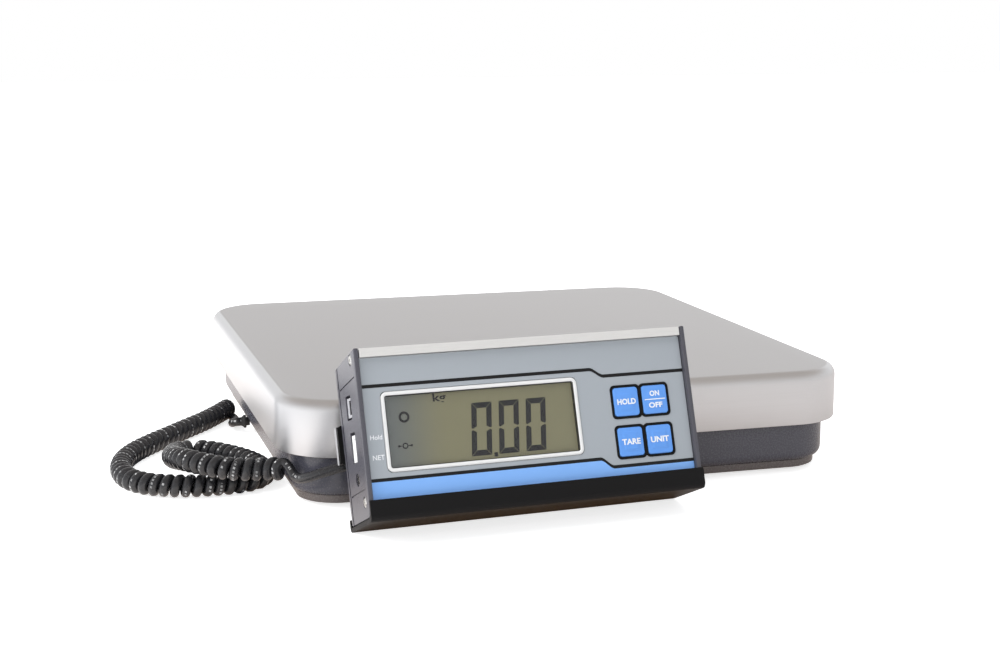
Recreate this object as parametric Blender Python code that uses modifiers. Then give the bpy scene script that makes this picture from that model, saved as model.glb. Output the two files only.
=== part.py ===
"""Bench scale: a square weighing platform on a moulded base, with a tilted display unit in a
sheet metal bracket standing in front of it, joined by a coiled cord. Metres, +Z up."""

import math

import bmesh
import bpy
from mathutils import Matrix, Vector

NAME = "bench_scale"

# Clearances
GAP = 0.0003
SLIDE_GAP = 0.0003
THREAD_GAP = 0.0003

# Weighing pan, a pressed sheet tray turned upside down
PLATFORM_AT = (0.0, 0.03374, 0.0)
PAN_SIDE = 0.320
PAN_TOP = 0.0595
PAN_SKIRT = 0.029
PAN_SHEET = 0.0015
PAN_CORNER = 0.0344
PAN_EDGE = 0.006
PAD_D = 0.018
PAD_T = 0.004

# Base moulding
BASE_INSET = 0.0071
BASE_CORNER = 0.0265
BASE_WALL = 0.003
BASE_BOTTOM = 0.0038
BASE_RIM_Z = 0.0092
BASE_RIM_IN = 0.0032
BASE_FLOOR_T = 0.0042
BASE_TOP = 0.044
RIB_T = 0.0025
RIB_H = 0.012
RIB_STEP = 0.0015
RIB_BESIDE = 0.010
RIB_BEYOND = 0.012

# Load cell and the parts bolted to it
CELL_L = 0.150
CELL_W = 0.040
CELL_H = 0.022
CELL_BORE = 0.015
CELL_BORE_X = 0.020
CELL_SLOT = 0.003
SPACER_L = 0.036
SPACER_T = 0.0037
BOLT_D = 0.008
BOLT_HEAD_D = 0.014
BOLT_HEAD_T = 0.003
BOLT_PITCH = 0.018
HUB_X = 0.170
HUB_Y = 0.100
HUB_T = 0.004
ARM_W = 0.024
ARM_H = 0.010
PAD_INSET = 0.042
ARM_END_D = 0.030

# Levelling feet
FOOT_INSET = 0.040
FOOT_D = 0.030
FOOT_T = 0.0032
STUD_D = 0.008
STUD_L = 0.020
BOSS_D = 0.018
BOSS_TOP = 0.028

# Display unit, in its own frame: X to the right, Y from the front to the back, Z up the face
UNIT_SIDE = -0.04428
UNIT_AHEAD = 0.02538
UNIT_TURN = math.radians(3.99)
UNIT_TILT = math.radians(18.935)
CAP_T = 0.0026
FACE_LEFT = 0.0125
FACE_MID = 0.02029
FACE_RIGHT = 0.0139
FACE_TOP = 0.084
RIM_OUT = 0.0025
REAR_TOP = (0.0362, 0.0787)
REAR_LOW = (0.0333, 0.0)
SHEET = 0.002
PANEL_Y = 0.0011
OVERLAY_T = 0.0008
OVERLAY_TOP = 0.0790
OVERLAY_LOW = 0.0060
COVER_T = 0.0025

# Display window
LCD_Z = 0.0424
LCD_W = 0.10096
LCD_H = 0.0386
FRAME_W = 0.0016
FRAME_OUT = 0.0004
GLASS_T = 0.0015
MODULE_T = 0.0030

# Keys, four in two rows
KEY_Z = 0.03708
KEY_PITCH_X = 0.01595
KEY_PITCH_Z = 0.02045
KEY_W = 0.0134
KEY_H = 0.0143
KEY_R = 0.0016
KEY_OUT = 0.0008
KEY_RING = 0.00065
KEY_STEM_D = 0.004
KEY_TRAVEL = 0.0004

# Circuit board and battery
BOARD_Y = 0.0085
BOARD_T = 0.0016
SLOT_RIB = 0.0014
SLOT_DEPTH = 0.0026
SWITCH = 0.006
PACK_W = 0.066
PACK_H = 0.016
PACK_T = 0.015
PACK_UP = 0.0027
DOOR_W = 0.074
DOOR_LOW = 0.0545
DOOR_T = 0.0013

# Connector openings in the left end cap: centre height, centre depth, height, depth
USB = (0.0570, 0.0166, 0.0114, 0.0084)
DATA = (0.0372, 0.0146, 0.0145, 0.0078)
JACK = (0.02135, 0.0135, 0.0060)
SCREW_TOP = (0.0056, 0.0792)
SCREW_LOW = (0.0046, 0.0098)
SCREW_D = 0.0028
SCREW_HEAD = 0.0052

# Parting grooves of the end caps: height at the front and at the back
GROOVE_HIGH = (0.0703, 0.0672)
GROOVE_LOW = (0.0160, 0.0138)
GROOVE_IN = 0.0014
GROOVE_W = 0.0008
GROOVE_D = 0.0005
SHELL_IN = 0.0046
SHELL_LINE = 0.0015
SHELL_DEEP = 0.0011

# Bracket of folded sheet: its tray falls a little towards the back
BRACKET_T = 0.0022
BRACKET_BACK = 0.0373
TRAY_FRONT = -0.0003
TRAY_BACK = -0.0032
BEND_FRONT = 0.0030
BEND_BACK = 0.0025
LIP_FRONT = 0.0043
LIP_T = 0.0015
LIP_TOP = 0.0103
STRAP_LOW = 0.0305
STRAP_H = 0.020
STRAP_OUT = 0.0018
STRAP_T = 0.0015
STRAP_END = 0.0055
WEB_W = 0.044

# Cord
WIRE_D = 0.0052
COIL_D = 0.0126
GLAND_D = 0.0100
GLAND_SLEEVE = 0.0080
GLAND_L = 0.0066
GLAND_FLANGE = 0.0015
BASE_GLAND_D = 0.0080
BASE_GLAND_L = 0.0030
BASE_GLAND = (0.032, 0.0070)
UNIT_ENTRY_IN = 0.0225
UNIT_ENTRY_Z = 0.025

# Centre line of the coiled stretch, measured from the middle of the pan
COIL_ROUTE = [
    (-0.1600, 0.0715, 0.0066), (-0.1690, 0.0560, 0.0066), (-0.1790, 0.0400, 0.0066),
    (-0.1900, 0.0250, 0.0066), (-0.2010, 0.0100, 0.0066), (-0.2130, -0.0060, 0.0066),
    (-0.2240, -0.0230, 0.0066), (-0.2320, -0.0420, 0.0066), (-0.2350, -0.0620, 0.0066),
    (-0.2330, -0.0800, 0.0066), (-0.2260, -0.0930, 0.0066), (-0.2150, -0.1015, 0.0066),
    (-0.2020, -0.1060, 0.0066), (-0.1890, -0.1070, 0.0066), (-0.1770, -0.1060, 0.0066),
    (-0.1675, -0.1020, 0.0066), (-0.1615, -0.0940, 0.0066), (-0.1600, -0.0830, 0.0066),
    (-0.1620, -0.0710, 0.0066), (-0.1670, -0.0580, 0.0066), (-0.1740, -0.0460, 0.0066),
    (-0.1820, -0.0360, 0.0066), (-0.1900, -0.0305, 0.0066), (-0.1975, -0.0325, 0.0072),
    (-0.2025, -0.0400, 0.0084), (-0.2055, -0.0520, 0.0104), (-0.2070, -0.0660, 0.0130),
    (-0.2070, -0.0810, 0.0160), (-0.2050, -0.0950, 0.0187), (-0.2005, -0.1070, 0.0200),
    (-0.1940, -0.1160, 0.0200), (-0.1870, -0.1225, 0.0196), (-0.1790, -0.1268, 0.0193),
    (-0.1705, -0.1290, 0.0190), (-0.1620, -0.1293, 0.0190),
]
LEAD_UNIT_ROUTE = [
    (-0.1590, -0.1308, 0.0176), (-0.1576, -0.1390, 0.0169), (-0.1553, -0.1470, 0.0172),
    (-0.1520, -0.1535, 0.0189), (-0.1467, -0.1592, 0.0215), (-0.1423, -0.1617, 0.0235),
    (-0.1374, -0.1632, 0.0252), (-0.1328, -0.1640, 0.0264), (-0.1270, -0.1643, 0.0270),
    (-0.1205, -0.1645, 0.0262),
]
LEAD_BASE_ROUTE = [
    (-0.1607, 0.0345, 0.0062), (-0.1606, 0.0385, 0.0049), (-0.1585, 0.0450, 0.0037),
    (-0.1569, 0.0520, 0.0031), (-0.1572, 0.0590, 0.0031),
]

# Derived levels
PAN_HALF = PAN_SIDE / 2
BASE_HALF = PAN_HALF - BASE_INSET
FLOOR_Z = BASE_BOTTOM + BASE_FLOOR_T
PAD_Z = PAN_TOP - PAN_SHEET - GAP - PAD_T
ARM_END_Z = PAD_Z - GAP
CELL_Z = FLOOR_Z + 2 * GAP + SPACER_T
CELL_TOP = CELL_Z + CELL_H
HUB_Z = CELL_TOP + 2 * GAP + SPACER_T
PAD_XY = PAN_HALF - PAD_INSET
FOOT_XY = PAN_HALF - FOOT_INSET
UNIT_FOOT = (UNIT_SIDE, -PAN_HALF - UNIT_AHEAD, 0.0)
KEYS_W = KEY_PITCH_X + KEY_W
UNIT_W = FACE_LEFT + LCD_W + FACE_MID + KEYS_W + FACE_RIGHT
LCD_X = -UNIT_W / 2 + FACE_LEFT + LCD_W / 2
KEY_X = UNIT_W / 2 - FACE_RIGHT - KEYS_W / 2
UNIT_GLAND = (-UNIT_W / 2 + UNIT_ENTRY_IN, UNIT_ENTRY_Z)
STRAP_W = UNIT_W + 2 * STRAP_OUT
CAP_IN = UNIT_W / 2 - CAP_T
INNER_W = 2 * (CAP_IN - GAP)
PANEL_BACK = PANEL_Y + SHEET


def unit_matrix():
    """Frame of the display unit: the rounded back edge of its tray stands on the table."""
    turn = Matrix.Rotation(UNIT_TURN, 4, "Z") @ Matrix.Rotation(-UNIT_TILT, 4, "X")
    foot = Vector(UNIT_FOOT) + Vector(PLATFORM_AT)
    bend = turn @ Vector((0, BRACKET_BACK - BEND_BACK, TRAY_BACK + BEND_BACK))
    return Matrix.Translation(foot - bend + Vector((0, 0, BEND_BACK))) @ turn


for old in list(bpy.data.objects):
    bpy.data.objects.remove(old, do_unlink=True)

PARTS = bpy.data.collections.new(NAME)
CUTTERS = bpy.data.collections.new("cutters")
bpy.context.scene.collection.children.link(PARTS)
bpy.context.scene.collection.children.link(CUTTERS)
PLATFORM = Matrix.Translation(PLATFORM_AT)
UNIT = unit_matrix()


def material(name, colour, metallic, roughness, alpha=1.0):
    mat = bpy.data.materials.new(name)
    mat.use_nodes = True
    shader = mat.node_tree.nodes["Principled BSDF"]
    shader.inputs["Base Color"].default_value = (*colour, 1.0)
    shader.inputs["Metallic"].default_value = metallic
    shader.inputs["Roughness"].default_value = roughness
    shader.inputs["Alpha"].default_value = alpha
    return mat


def finish_object(name, bm, matrix, mat, smooth=False):
    """Turns a bmesh into a named object of the part."""
    bmesh.ops.recalc_face_normals(bm, faces=bm.faces)
    mesh = bpy.data.meshes.new(name)
    bm.to_mesh(mesh)
    bm.free()
    for face in mesh.polygons:
        face.use_smooth = smooth
    obj = bpy.data.objects.new(name, mesh)
    obj.matrix_world = matrix
    if mat is None:
        CUTTERS.objects.link(obj)
        obj.hide_render = True
        obj.display_type = "WIRE"
    else:
        mesh.materials.append(mat)
        PARTS.objects.link(obj)
    return obj


def rounded(width, height, radius, steps, centre=(0.0, 0.0)):
    """Rounded rectangle as a list of points, anticlockwise."""
    cx, cy = centre
    if radius <= 0:
        hw, hh = width / 2, height / 2
        return [(cx + hw, cy - hh), (cx + hw, cy + hh), (cx - hw, cy + hh), (cx - hw, cy - hh)]
    points = []
    for quarter in range(4):
        sx = 1 if quarter in (0, 3) else -1
        sy = 1 if quarter in (0, 1) else -1
        for step in range(steps + 1):
            a = math.pi / 2 * (quarter + step / steps)
            x = sx * (width / 2 - radius) + radius * math.cos(a)
            y = sy * (height / 2 - radius) + radius * math.sin(a)
            points.append((cx + x, cy + y))
    return points


def circle(diameter, steps, centre=(0.0, 0.0)):
    turn = 2 * math.pi / steps
    r = diameter / 2
    return [(centre[0] + r * math.cos(i * turn), centre[1] + r * math.sin(i * turn))
            for i in range(steps)]


def place(axis, p, q, t):
    """Point of an outline at depth t along an axis."""
    if axis == "Z":
        return (p, q, t)
    if axis == "Y":
        return (p, t, q)
    return (t, p, q)


def prism(name, points, lo, hi, axis, matrix, mat=None, smooth=False):
    """Outline pushed from lo to hi along an axis; a cutter when no material is given."""
    bm = bmesh.new()
    low = [bm.verts.new(place(axis, p, q, lo)) for p, q in points]
    high = [bm.verts.new(place(axis, p, q, hi)) for p, q in points]
    bm.faces.new(low)
    bm.faces.new(high)
    for i in range(len(points)):
        j = (i + 1) % len(points)
        bm.faces.new((low[i], low[j], high[j], high[i]))
    return finish_object(name, bm, matrix, mat, smooth)


def lofted(name, rings, axis, matrix, mat=None, smooth=True, endless=False):
    """Solid through a chain of outlines with equal numbers of points; an endless chain makes a ring."""
    bm = bmesh.new()
    loops = [[bm.verts.new(place(axis, p, q, t)) for p, q in points] for points, t in rings]
    if endless:
        loops.append(loops[0])
    else:
        bm.faces.new(loops[0])
        bm.faces.new(loops[-1])
    for one, two in zip(loops, loops[1:]):
        for i in range(len(one)):
            j = (i + 1) % len(one)
            bm.faces.new((one[i], one[j], two[j], two[i]))
    return finish_object(name, bm, matrix, mat, smooth)


def turned(name, profile, steps, axis, matrix, mat=None, centre=(0.0, 0.0)):
    """Round solid from (radius, position) pairs along an axis."""
    rings = [(circle(2 * r, steps, centre), t) for r, t in profile]
    return lofted(name, rings, axis, matrix, mat)


def boolean(obj, other, operation):
    mod = obj.modifiers.new(other.name, "BOOLEAN")
    mod.operation = operation
    mod.solver = "EXACT"
    mod.object = other


def cut(obj, other):
    boolean(obj, other, "DIFFERENCE")


def join(obj, other):
    boolean(obj, other, "UNION")


def bevel(obj, width, segments=2):
    mod = obj.modifiers.new("edges", "BEVEL")
    mod.width = width
    mod.segments = segments
    mod.limit_method = "ANGLE"
    mod.angle_limit = math.radians(40)


def square_ring(inset, side, corner, steps):
    return rounded(side - 2 * inset, side - 2 * inset, corner - inset, steps)


# Pan

def make_pan(mat):
    """Tray with a rounded top edge and a skirt hanging outside the base."""
    steps = 8
    rings = []
    inner = PAN_EDGE - PAN_SHEET
    for i in range(5):
        a = math.pi / 2 * i / 4
        inset = PAN_EDGE * (1 - math.sin(a))
        z = PAN_TOP - PAN_EDGE * (1 - math.cos(a))
        rings.append((square_ring(inset, PAN_SIDE, PAN_CORNER, steps), z))
    rings.append((square_ring(0, PAN_SIDE, PAN_CORNER, steps), PAN_TOP - PAN_SKIRT))
    rings.append((square_ring(PAN_SHEET, PAN_SIDE, PAN_CORNER, steps), PAN_TOP - PAN_SKIRT))
    for i in range(4):
        a = math.pi / 2 * (1 - i / 3)
        inset = PAN_EDGE - inner * math.sin(a)
        z = PAN_TOP - PAN_EDGE + inner * math.cos(a)
        rings.append((square_ring(inset, PAN_SIDE, PAN_CORNER, steps), z))
    return lofted("pan", rings, "Z", PLATFORM, mat)


def make_pan_pads(mat):
    """Rubber buttons on the arm ends; the pan rests on them."""
    r = PAD_D / 2
    profile = [(r, PAD_Z), (r, PAD_Z + PAD_T * 0.7), (r * 0.82, PAD_Z + PAD_T)]
    for i, (sx, sy) in enumerate(((-1, -1), (1, -1), (1, 1), (-1, 1)), 1):
        turned(f"pan_pad_{i}", profile, 20, "Z", PLATFORM, mat, (sx * PAD_XY, sy * PAD_XY))


# Load cell and carrier

def bolt(name, x, base_z, top_z, head_up, mat):
    """Countersunk bolt; base_z to top_z is its whole length."""
    r = BOLT_D / 2
    head = BOLT_HEAD_D / 2
    if head_up:
        profile = [(r - 0.0006, base_z), (r, base_z + 0.0008), (r, top_z - BOLT_HEAD_T), (head, top_z)]
    else:
        profile = [(head, base_z), (r, base_z + BOLT_HEAD_T), (r, top_z - 0.0008), (r - 0.0006, top_z)]
    hexagon = circle(BOLT_D * 0.62, 6, (x, 0))
    ends = (top_z + 0.001, top_z - 0.0018) if head_up else (base_z - 0.001, base_z + 0.0018)
    key = [(hexagon, z) for z in ends]
    obj = turned(name, profile, 20, "Z", PLATFORM, mat, (x, 0))
    cut(obj, lofted(name + "_key", key, "Z", PLATFORM))
    return obj


def bolt_hole(obj, x, low, high, countersink):
    """Clearance hole for a bolt, opened out at one end for the head."""
    r = BOLT_D / 2 + GAP
    head = BOLT_HEAD_D / 2 + GAP
    if countersink == "top":
        profile = [(r, low - 0.001), (r, high - BOLT_HEAD_T - GAP), (head, high), (head, high + 0.001)]
    elif countersink == "bottom":
        profile = [(head, low - 0.001), (head, low), (r, low + BOLT_HEAD_T + GAP), (r, high + 0.001)]
    else:
        profile = [(r, low - 0.001), (r, high + 0.001)]
    cut(obj, turned(f"{obj.name}_hole", profile, 20, "Z", PLATFORM, None, (x, 0)))


def bolt_places(side):
    middle = side * (CELL_L / 2 - SPACER_L / 2)
    return (middle - BOLT_PITCH / 2, middle + BOLT_PITCH / 2)


def make_load_cell(mat):
    """Aluminium bar weakened by two joined bores, so it bends under load."""
    low, high = CELL_Z, CELL_TOP
    bar = prism("load_cell", rounded(CELL_L, CELL_W, 0.001, 1), low, high, "Z", PLATFORM, mat)
    bevel(bar, 0.0006, 1)
    mid = (low + high) / 2
    half = CELL_W / 2 + 0.002
    points = []
    r = CELL_BORE / 2
    lean = math.asin(CELL_SLOT / 2 / r)
    for side in (1, -1):
        for i in range(17):
            a = lean + (2 * math.pi - 2 * lean) * i / 16 - math.pi
            points.append((side * (CELL_BORE_X + r * math.cos(a)), mid + side * r * math.sin(a)))
    cut(bar, prism("cell_bores", points, -half, half, "Y", PLATFORM))
    for side in (-1, 1):
        for x in bolt_places(side):
            depth = CELL_H * 0.6
            lo, hi = (low - 0.001, low + depth) if side < 0 else (high - depth, high + 0.001)
            hole = circle(BOLT_D + 2 * GAP, 20, (x, 0))
            cut(bar, prism("cell_thread", hole, lo, hi, "Z", PLATFORM))


def make_spacers(mat):
    places = (("cell_spacer_lower", -1, FLOOR_Z + GAP), ("cell_spacer_upper", 1, CELL_TOP + GAP))
    for name, side, low in places:
        middle = side * (CELL_L / 2 - SPACER_L / 2)
        outline = rounded(SPACER_L, CELL_W, 0.002, 2, (middle, 0))
        plate = prism(name, outline, low, low + SPACER_T, "Z", PLATFORM, mat)
        for x in bolt_places(side):
            bolt_hole(plate, x, low, low + SPACER_T, None)


def make_load_frame(mat):
    """Hub plate on the free end of the cell, with four arms out to the pan corners."""
    hub = prism("load_frame", rounded(HUB_X, HUB_Y, 0.012, 4), HUB_Z, HUB_Z + HUB_T, "Z", PLATFORM, mat)
    reach = PAD_XY * math.sqrt(2)
    for i, angle in enumerate((math.pi / 4, -math.pi / 4)):
        turn = PLATFORM @ Matrix.Rotation(angle, 4, "Z")
        low = HUB_Z + HUB_T * 0.3
        arm = prism(f"arm_{i}", rounded(2 * reach, ARM_W, 0, 1), low, low + ARM_H, "Z", turn)
        join(hub, arm)
    for i, (sx, sy) in enumerate(((-1, -1), (1, -1), (1, 1), (-1, 1))):
        seat = circle(ARM_END_D, 24, (sx * PAD_XY, sy * PAD_XY))
        join(hub, prism(f"seat_{i}", seat, HUB_Z + HUB_T * 0.6, ARM_END_Z, "Z", PLATFORM))
    window = rounded(HUB_X * 0.2, HUB_Y * 0.5, 0.006, 3, (-HUB_X * 0.26, 0))
    cut(hub, prism("hub_window", window, HUB_Z - 0.001, HUB_Z + HUB_T + 0.001, "Z", PLATFORM))
    for x in bolt_places(1):
        bolt_hole(hub, x, HUB_Z, HUB_Z + HUB_T, "top")


def make_bolts(mat):
    for i, x in enumerate(bolt_places(-1), 1):
        bolt(f"cell_bolt_{i}", x, BASE_BOTTOM + GAP, CELL_Z + CELL_H * 0.5, False, mat)
    for i, x in enumerate(bolt_places(1), 3):
        bolt(f"cell_bolt_{i}", x, CELL_TOP - CELL_H * 0.5, HUB_Z + HUB_T - GAP, True, mat)


# Base

def make_base_floor(mat):
    """Shallow tray with a rounded lower rim and four bosses for the feet."""
    steps = 8
    side = 2 * BASE_HALF
    rim = BASE_RIM_IN
    drop = BASE_RIM_Z - BASE_BOTTOM
    chain = [(rim + 0.002, BASE_BOTTOM), (rim, BASE_BOTTOM + 0.0006), (rim * 0.45, BASE_BOTTOM + drop * 0.38),
             (rim * 0.15, BASE_BOTTOM + drop * 0.7), (0.0002, BASE_RIM_Z - 0.0004), (0.0, BASE_RIM_Z),
             (BASE_WALL, BASE_RIM_Z), (BASE_WALL, FLOOR_Z)]
    rings = [(square_ring(inset, side, BASE_CORNER, steps), z) for inset, z in chain]
    floor = lofted("base_floor", rings, "Z", PLATFORM, mat)
    for i, (sx, sy) in enumerate(((-1, -1), (1, -1), (1, 1), (-1, 1))):
        at = (sx * FOOT_XY, sy * FOOT_XY)
        join(floor, prism(f"boss_{i}", circle(BOSS_D, 24, at), FLOOR_Z - 0.0013, BOSS_TOP, "Z", PLATFORM))
        hole = circle(STUD_D + 2 * THREAD_GAP, 20, at)
        cut(floor, prism(f"boss_hole_{i}", hole, BASE_BOTTOM - 0.001, BOSS_TOP - 0.002, "Z", PLATFORM))
    for x in bolt_places(-1):
        bolt_hole(floor, x, BASE_BOTTOM, FLOOR_Z, "bottom")
    base_entry(floor)


def make_base_wall(mat):
    """Square wall that stands on the rim of the floor."""
    chain = [(0, BASE_RIM_Z + GAP), (0, BASE_TOP), (BASE_WALL, BASE_TOP), (BASE_WALL, BASE_RIM_Z + GAP)]
    rings = [(square_ring(inset, 2 * BASE_HALF, BASE_CORNER, 8), z) for inset, z in chain]
    wall = lofted("base_wall", rings, "Z", PLATFORM, mat, True, True)
    base_entry(wall)


def base_entry(obj):
    """Hole for the cord, partly in the rim and partly in the wall."""
    entry = circle(GLAND_SLEEVE * 0.8, 20, BASE_GLAND)
    cut(obj, prism(f"{obj.name}_entry", entry, -BASE_HALF - 0.002, -BASE_HALF + BASE_WALL + 0.002, "X", PLATFORM))


def make_base_ribs(mat):
    """Two crossing pairs of ribs between the walls, kept clear of the foot bosses."""
    lo, hi = FLOOR_Z + GAP, FLOOR_Z + RIB_H
    inner = BASE_HALF - BASE_WALL - GAP
    beside = CELL_W / 2 + RIB_BESIDE
    beyond = CELL_L / 2 + RIB_BEYOND
    ribs = prism("base_ribs", rounded(2 * inner, RIB_T, 0, 1, (0, -beside)), lo, hi, "Z", PLATFORM, mat)
    join(ribs, prism("rib_back", rounded(2 * inner, RIB_T, 0, 1, (0, beside)), lo, hi, "Z", PLATFORM))
    for i, x in enumerate((-beyond, beyond)):
        bar = rounded(RIB_T, 2 * inner, 0, 1, (x, 0))
        join(ribs, prism(f"rib_side_{i}", bar, lo, hi - RIB_STEP, "Z", PLATFORM))
    for i, (sx, sy) in enumerate(((-1, -1), (1, -1), (1, 1), (-1, 1))):
        clear = circle(BOSS_D + 2 * GAP, 24, (sx * FOOT_XY, sy * FOOT_XY))
        cut(ribs, prism(f"rib_clear_{i}", clear, lo - 0.001, hi + 0.001, "Z", PLATFORM))


def make_feet(rubber, steel):
    """Rubber footed discs, each on a threaded stud that screws up into its boss."""
    for i, (sx, sy) in enumerate(((-1, -1), (1, -1), (1, 1), (-1, 1)), 1):
        at = PLATFORM @ Matrix.Translation((sx * FOOT_XY, sy * FOOT_XY, 0))
        r = FOOT_D / 2
        top = FOOT_T
        hole = (STUD_D + 0.002) / 2
        marks = [(r * 0.93, 0), (r, 0.0006), (r, top - 0.0008), (r * 0.9, top)]
        pad = turned(f"foot_pad_{i}", marks, 28, "Z",
                     at, rubber)
        seat = [(hole, top * 0.45), (hole, top + 0.001)]
        cut(pad, turned(f"foot_seat_{i}", seat, 20, "Z", at))
        s = STUD_D / 2
        low = top * 0.45 + GAP
        profile = [(s, low), (s, low + STUD_L - 0.001), (s - 0.0008, low + STUD_L)]
        stud = turned(f"foot_stud_{i}", profile, 20, "Z", at, steel)
        slot = rounded(STUD_D * 1.2, 0.0012, 0, 1)
        cut(stud, prism(f"stud_slot_{i}", slot, low + STUD_L - 0.0015, low + STUD_L + 0.001, "Z", at))


# Display unit

def rear_at(z):
    """Depth of the back face at a height up the unit; the back leans a little."""
    t = (z - REAR_LOW[1]) / (REAR_TOP[1] - REAR_LOW[1])
    return REAR_LOW[0] + t * (REAR_TOP[0] - REAR_LOW[0])


def top_at(y):
    """Height of the top face at a depth; it falls towards the back."""
    t = (y + RIM_OUT) / (REAR_TOP[0] + RIM_OUT)
    return FACE_TOP + t * (REAR_TOP[1] - FACE_TOP)


def tray_at(y):
    """Height of the tray's lower face at a depth."""
    start, end = BEND_FRONT - LIP_FRONT, BRACKET_BACK - BEND_BACK
    return TRAY_FRONT + (y - start) / (end - start) * (TRAY_BACK - TRAY_FRONT)


def under_at(y):
    """Height of the underside of the unit, a gap above the tray."""
    return tray_at(y) + BRACKET_T + 0.0001 + GAP


def floor_at(y):
    """Height of the inner face of the housing's floor."""
    return under_at(y) + GAP + SHEET


def make_housing(mat):
    """Extrusion with front, top and floor; ribs in pairs make slots for the circuit board."""
    back = rear_at(REAR_TOP[1]) - COVER_T - GAP
    low_back = rear_at(0) - COVER_T - GAP
    front = -RIM_OUT + GAP
    strip = OVERLAY_TOP + GAP
    slot_a = BOARD_Y - GAP
    slot_b = BOARD_Y + BOARD_T + GAP
    drop = 0.0003

    def roof(y):
        return top_at(y) - drop - SHEET

    points = [(front, top_at(front) - drop), (front, strip), (PANEL_Y, strip)]
    points.append((PANEL_Y, floor_at(PANEL_Y) - SHEET))
    points += [(low_back, floor_at(low_back) - SHEET), (low_back, floor_at(low_back))]
    ledge = floor_at(slot_a) + SLOT_DEPTH
    points += [(slot_b + SLOT_RIB, floor_at(slot_b + SLOT_RIB)), (slot_b + SLOT_RIB, ledge), (slot_b, ledge)]
    points += [(slot_b, floor_at(slot_b)), (slot_a, floor_at(slot_a)), (slot_a, ledge)]
    points += [(slot_a - SLOT_RIB, ledge), (slot_a - SLOT_RIB, floor_at(slot_a - SLOT_RIB))]
    points.append((PANEL_BACK, floor_at(PANEL_BACK)))
    shelf = roof(slot_a) - SLOT_DEPTH
    points += [(PANEL_BACK, roof(PANEL_BACK)), (slot_a - SLOT_RIB, roof(slot_a - SLOT_RIB))]
    points += [(slot_a - SLOT_RIB, shelf), (slot_a, shelf), (slot_a, roof(slot_a)), (slot_b, roof(slot_b))]
    points += [(slot_b, shelf), (slot_b + SLOT_RIB, shelf), (slot_b + SLOT_RIB, roof(slot_b + SLOT_RIB))]
    points += [(back, roof(back)), (back, top_at(back) - drop)]
    half = INNER_W / 2
    body = prism("indicator_housing", points, -half, half, "X", UNIT, mat)
    for i, (y, z) in enumerate((SCREW_TOP, SCREW_LOW)):
        outer = circle(SCREW_D + 0.0030, 16, (y, z))
        join(body, prism(f"screw_channel_{i}", outer, -half, half, "X", UNIT))
    for i, (y, z) in enumerate((SCREW_TOP, SCREW_LOW)):
        inner = circle(SCREW_D + 2 * GAP, 12, (y, z))
        cut(body, prism(f"screw_bore_{i}", inner, -half - 0.001, half + 0.001, "X", UNIT))
    opening = rounded(LCD_W + 2 * GAP, LCD_H + 2 * GAP, 0.001, 2, (LCD_X, LCD_Z))
    cut(body, prism("display_opening", opening, PANEL_Y - 0.001, PANEL_BACK + 0.001, "Y", UNIT))
    w, h = keypad_size()
    opening = rounded(w + 2 * GAP, h + 2 * GAP, 0.001, 2, (KEY_X, KEY_Z))
    cut(body, prism("keypad_opening", opening, PANEL_Y - 0.001, PANEL_BACK + 0.001, "Y", UNIT))


def keypad_size():
    return (KEYS_W + 0.0050, KEY_PITCH_Z + KEY_H + 0.0050)


def key_places():
    out = []
    for sz in (1, -1):
        for sx in (-1, 1):
            out.append((KEY_X + sx * KEY_PITCH_X / 2, KEY_Z + sz * KEY_PITCH_Z / 2))
    return out


def row_block(z, grow):
    """Outline round the two keys of a row."""
    w = KEYS_W + 2 * (SLIDE_GAP + KEY_RING) + 2 * grow
    h = KEY_H + 2 * (SLIDE_GAP + KEY_RING) + 2 * grow
    return rounded(w, h, KEY_R + SLIDE_GAP + KEY_RING + grow, 4, (KEY_X, z))


def make_overlay(mat):
    """Front film with openings for the display frame and the two rows of keys."""
    w = INNER_W
    h = OVERLAY_TOP - OVERLAY_LOW
    outline = rounded(w, h, 0.0008, 1, (0, OVERLAY_LOW + h / 2))
    film = prism("overlay", outline, 0, OVERLAY_T, "Y", UNIT, mat)
    opening = rounded(LCD_W + 2 * GAP, LCD_H + 2 * GAP, 0.001, 2, (LCD_X, LCD_Z))
    cut(film, prism("overlay_display", opening, -0.001, OVERLAY_T + 0.001, "Y", UNIT))
    for i, sz in enumerate((1, -1)):
        row = row_block(KEY_Z + sz * KEY_PITCH_Z / 2, GAP)
        cut(film, prism(f"overlay_row_{i}", row, -0.001, OVERLAY_T + 0.001, "Y", UNIT))


def make_keypad_frame(mat):
    """Plate in the front panel with a raised block round each row of keys."""
    w, h = keypad_size()
    outline = rounded(w, h, 0.001, 2, (KEY_X, KEY_Z))
    plate = prism("keypad_frame", outline, PANEL_Y, PANEL_BACK, "Y", UNIT, mat)
    for i, sz in enumerate((1, -1)):
        row = row_block(KEY_Z + sz * KEY_PITCH_Z / 2, 0)
        join(plate, prism(f"row_block_{i}", row, -0.0004, PANEL_Y + 0.0005, "Y", UNIT))
    for i, at in enumerate(key_places()):
        hole = rounded(KEY_W + 2 * SLIDE_GAP, KEY_H + 2 * SLIDE_GAP, KEY_R + SLIDE_GAP, 4, at)
        cut(plate, prism(f"key_hole_{i}", hole, -0.002, PANEL_BACK + 0.001, "Y", UNIT))


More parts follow.
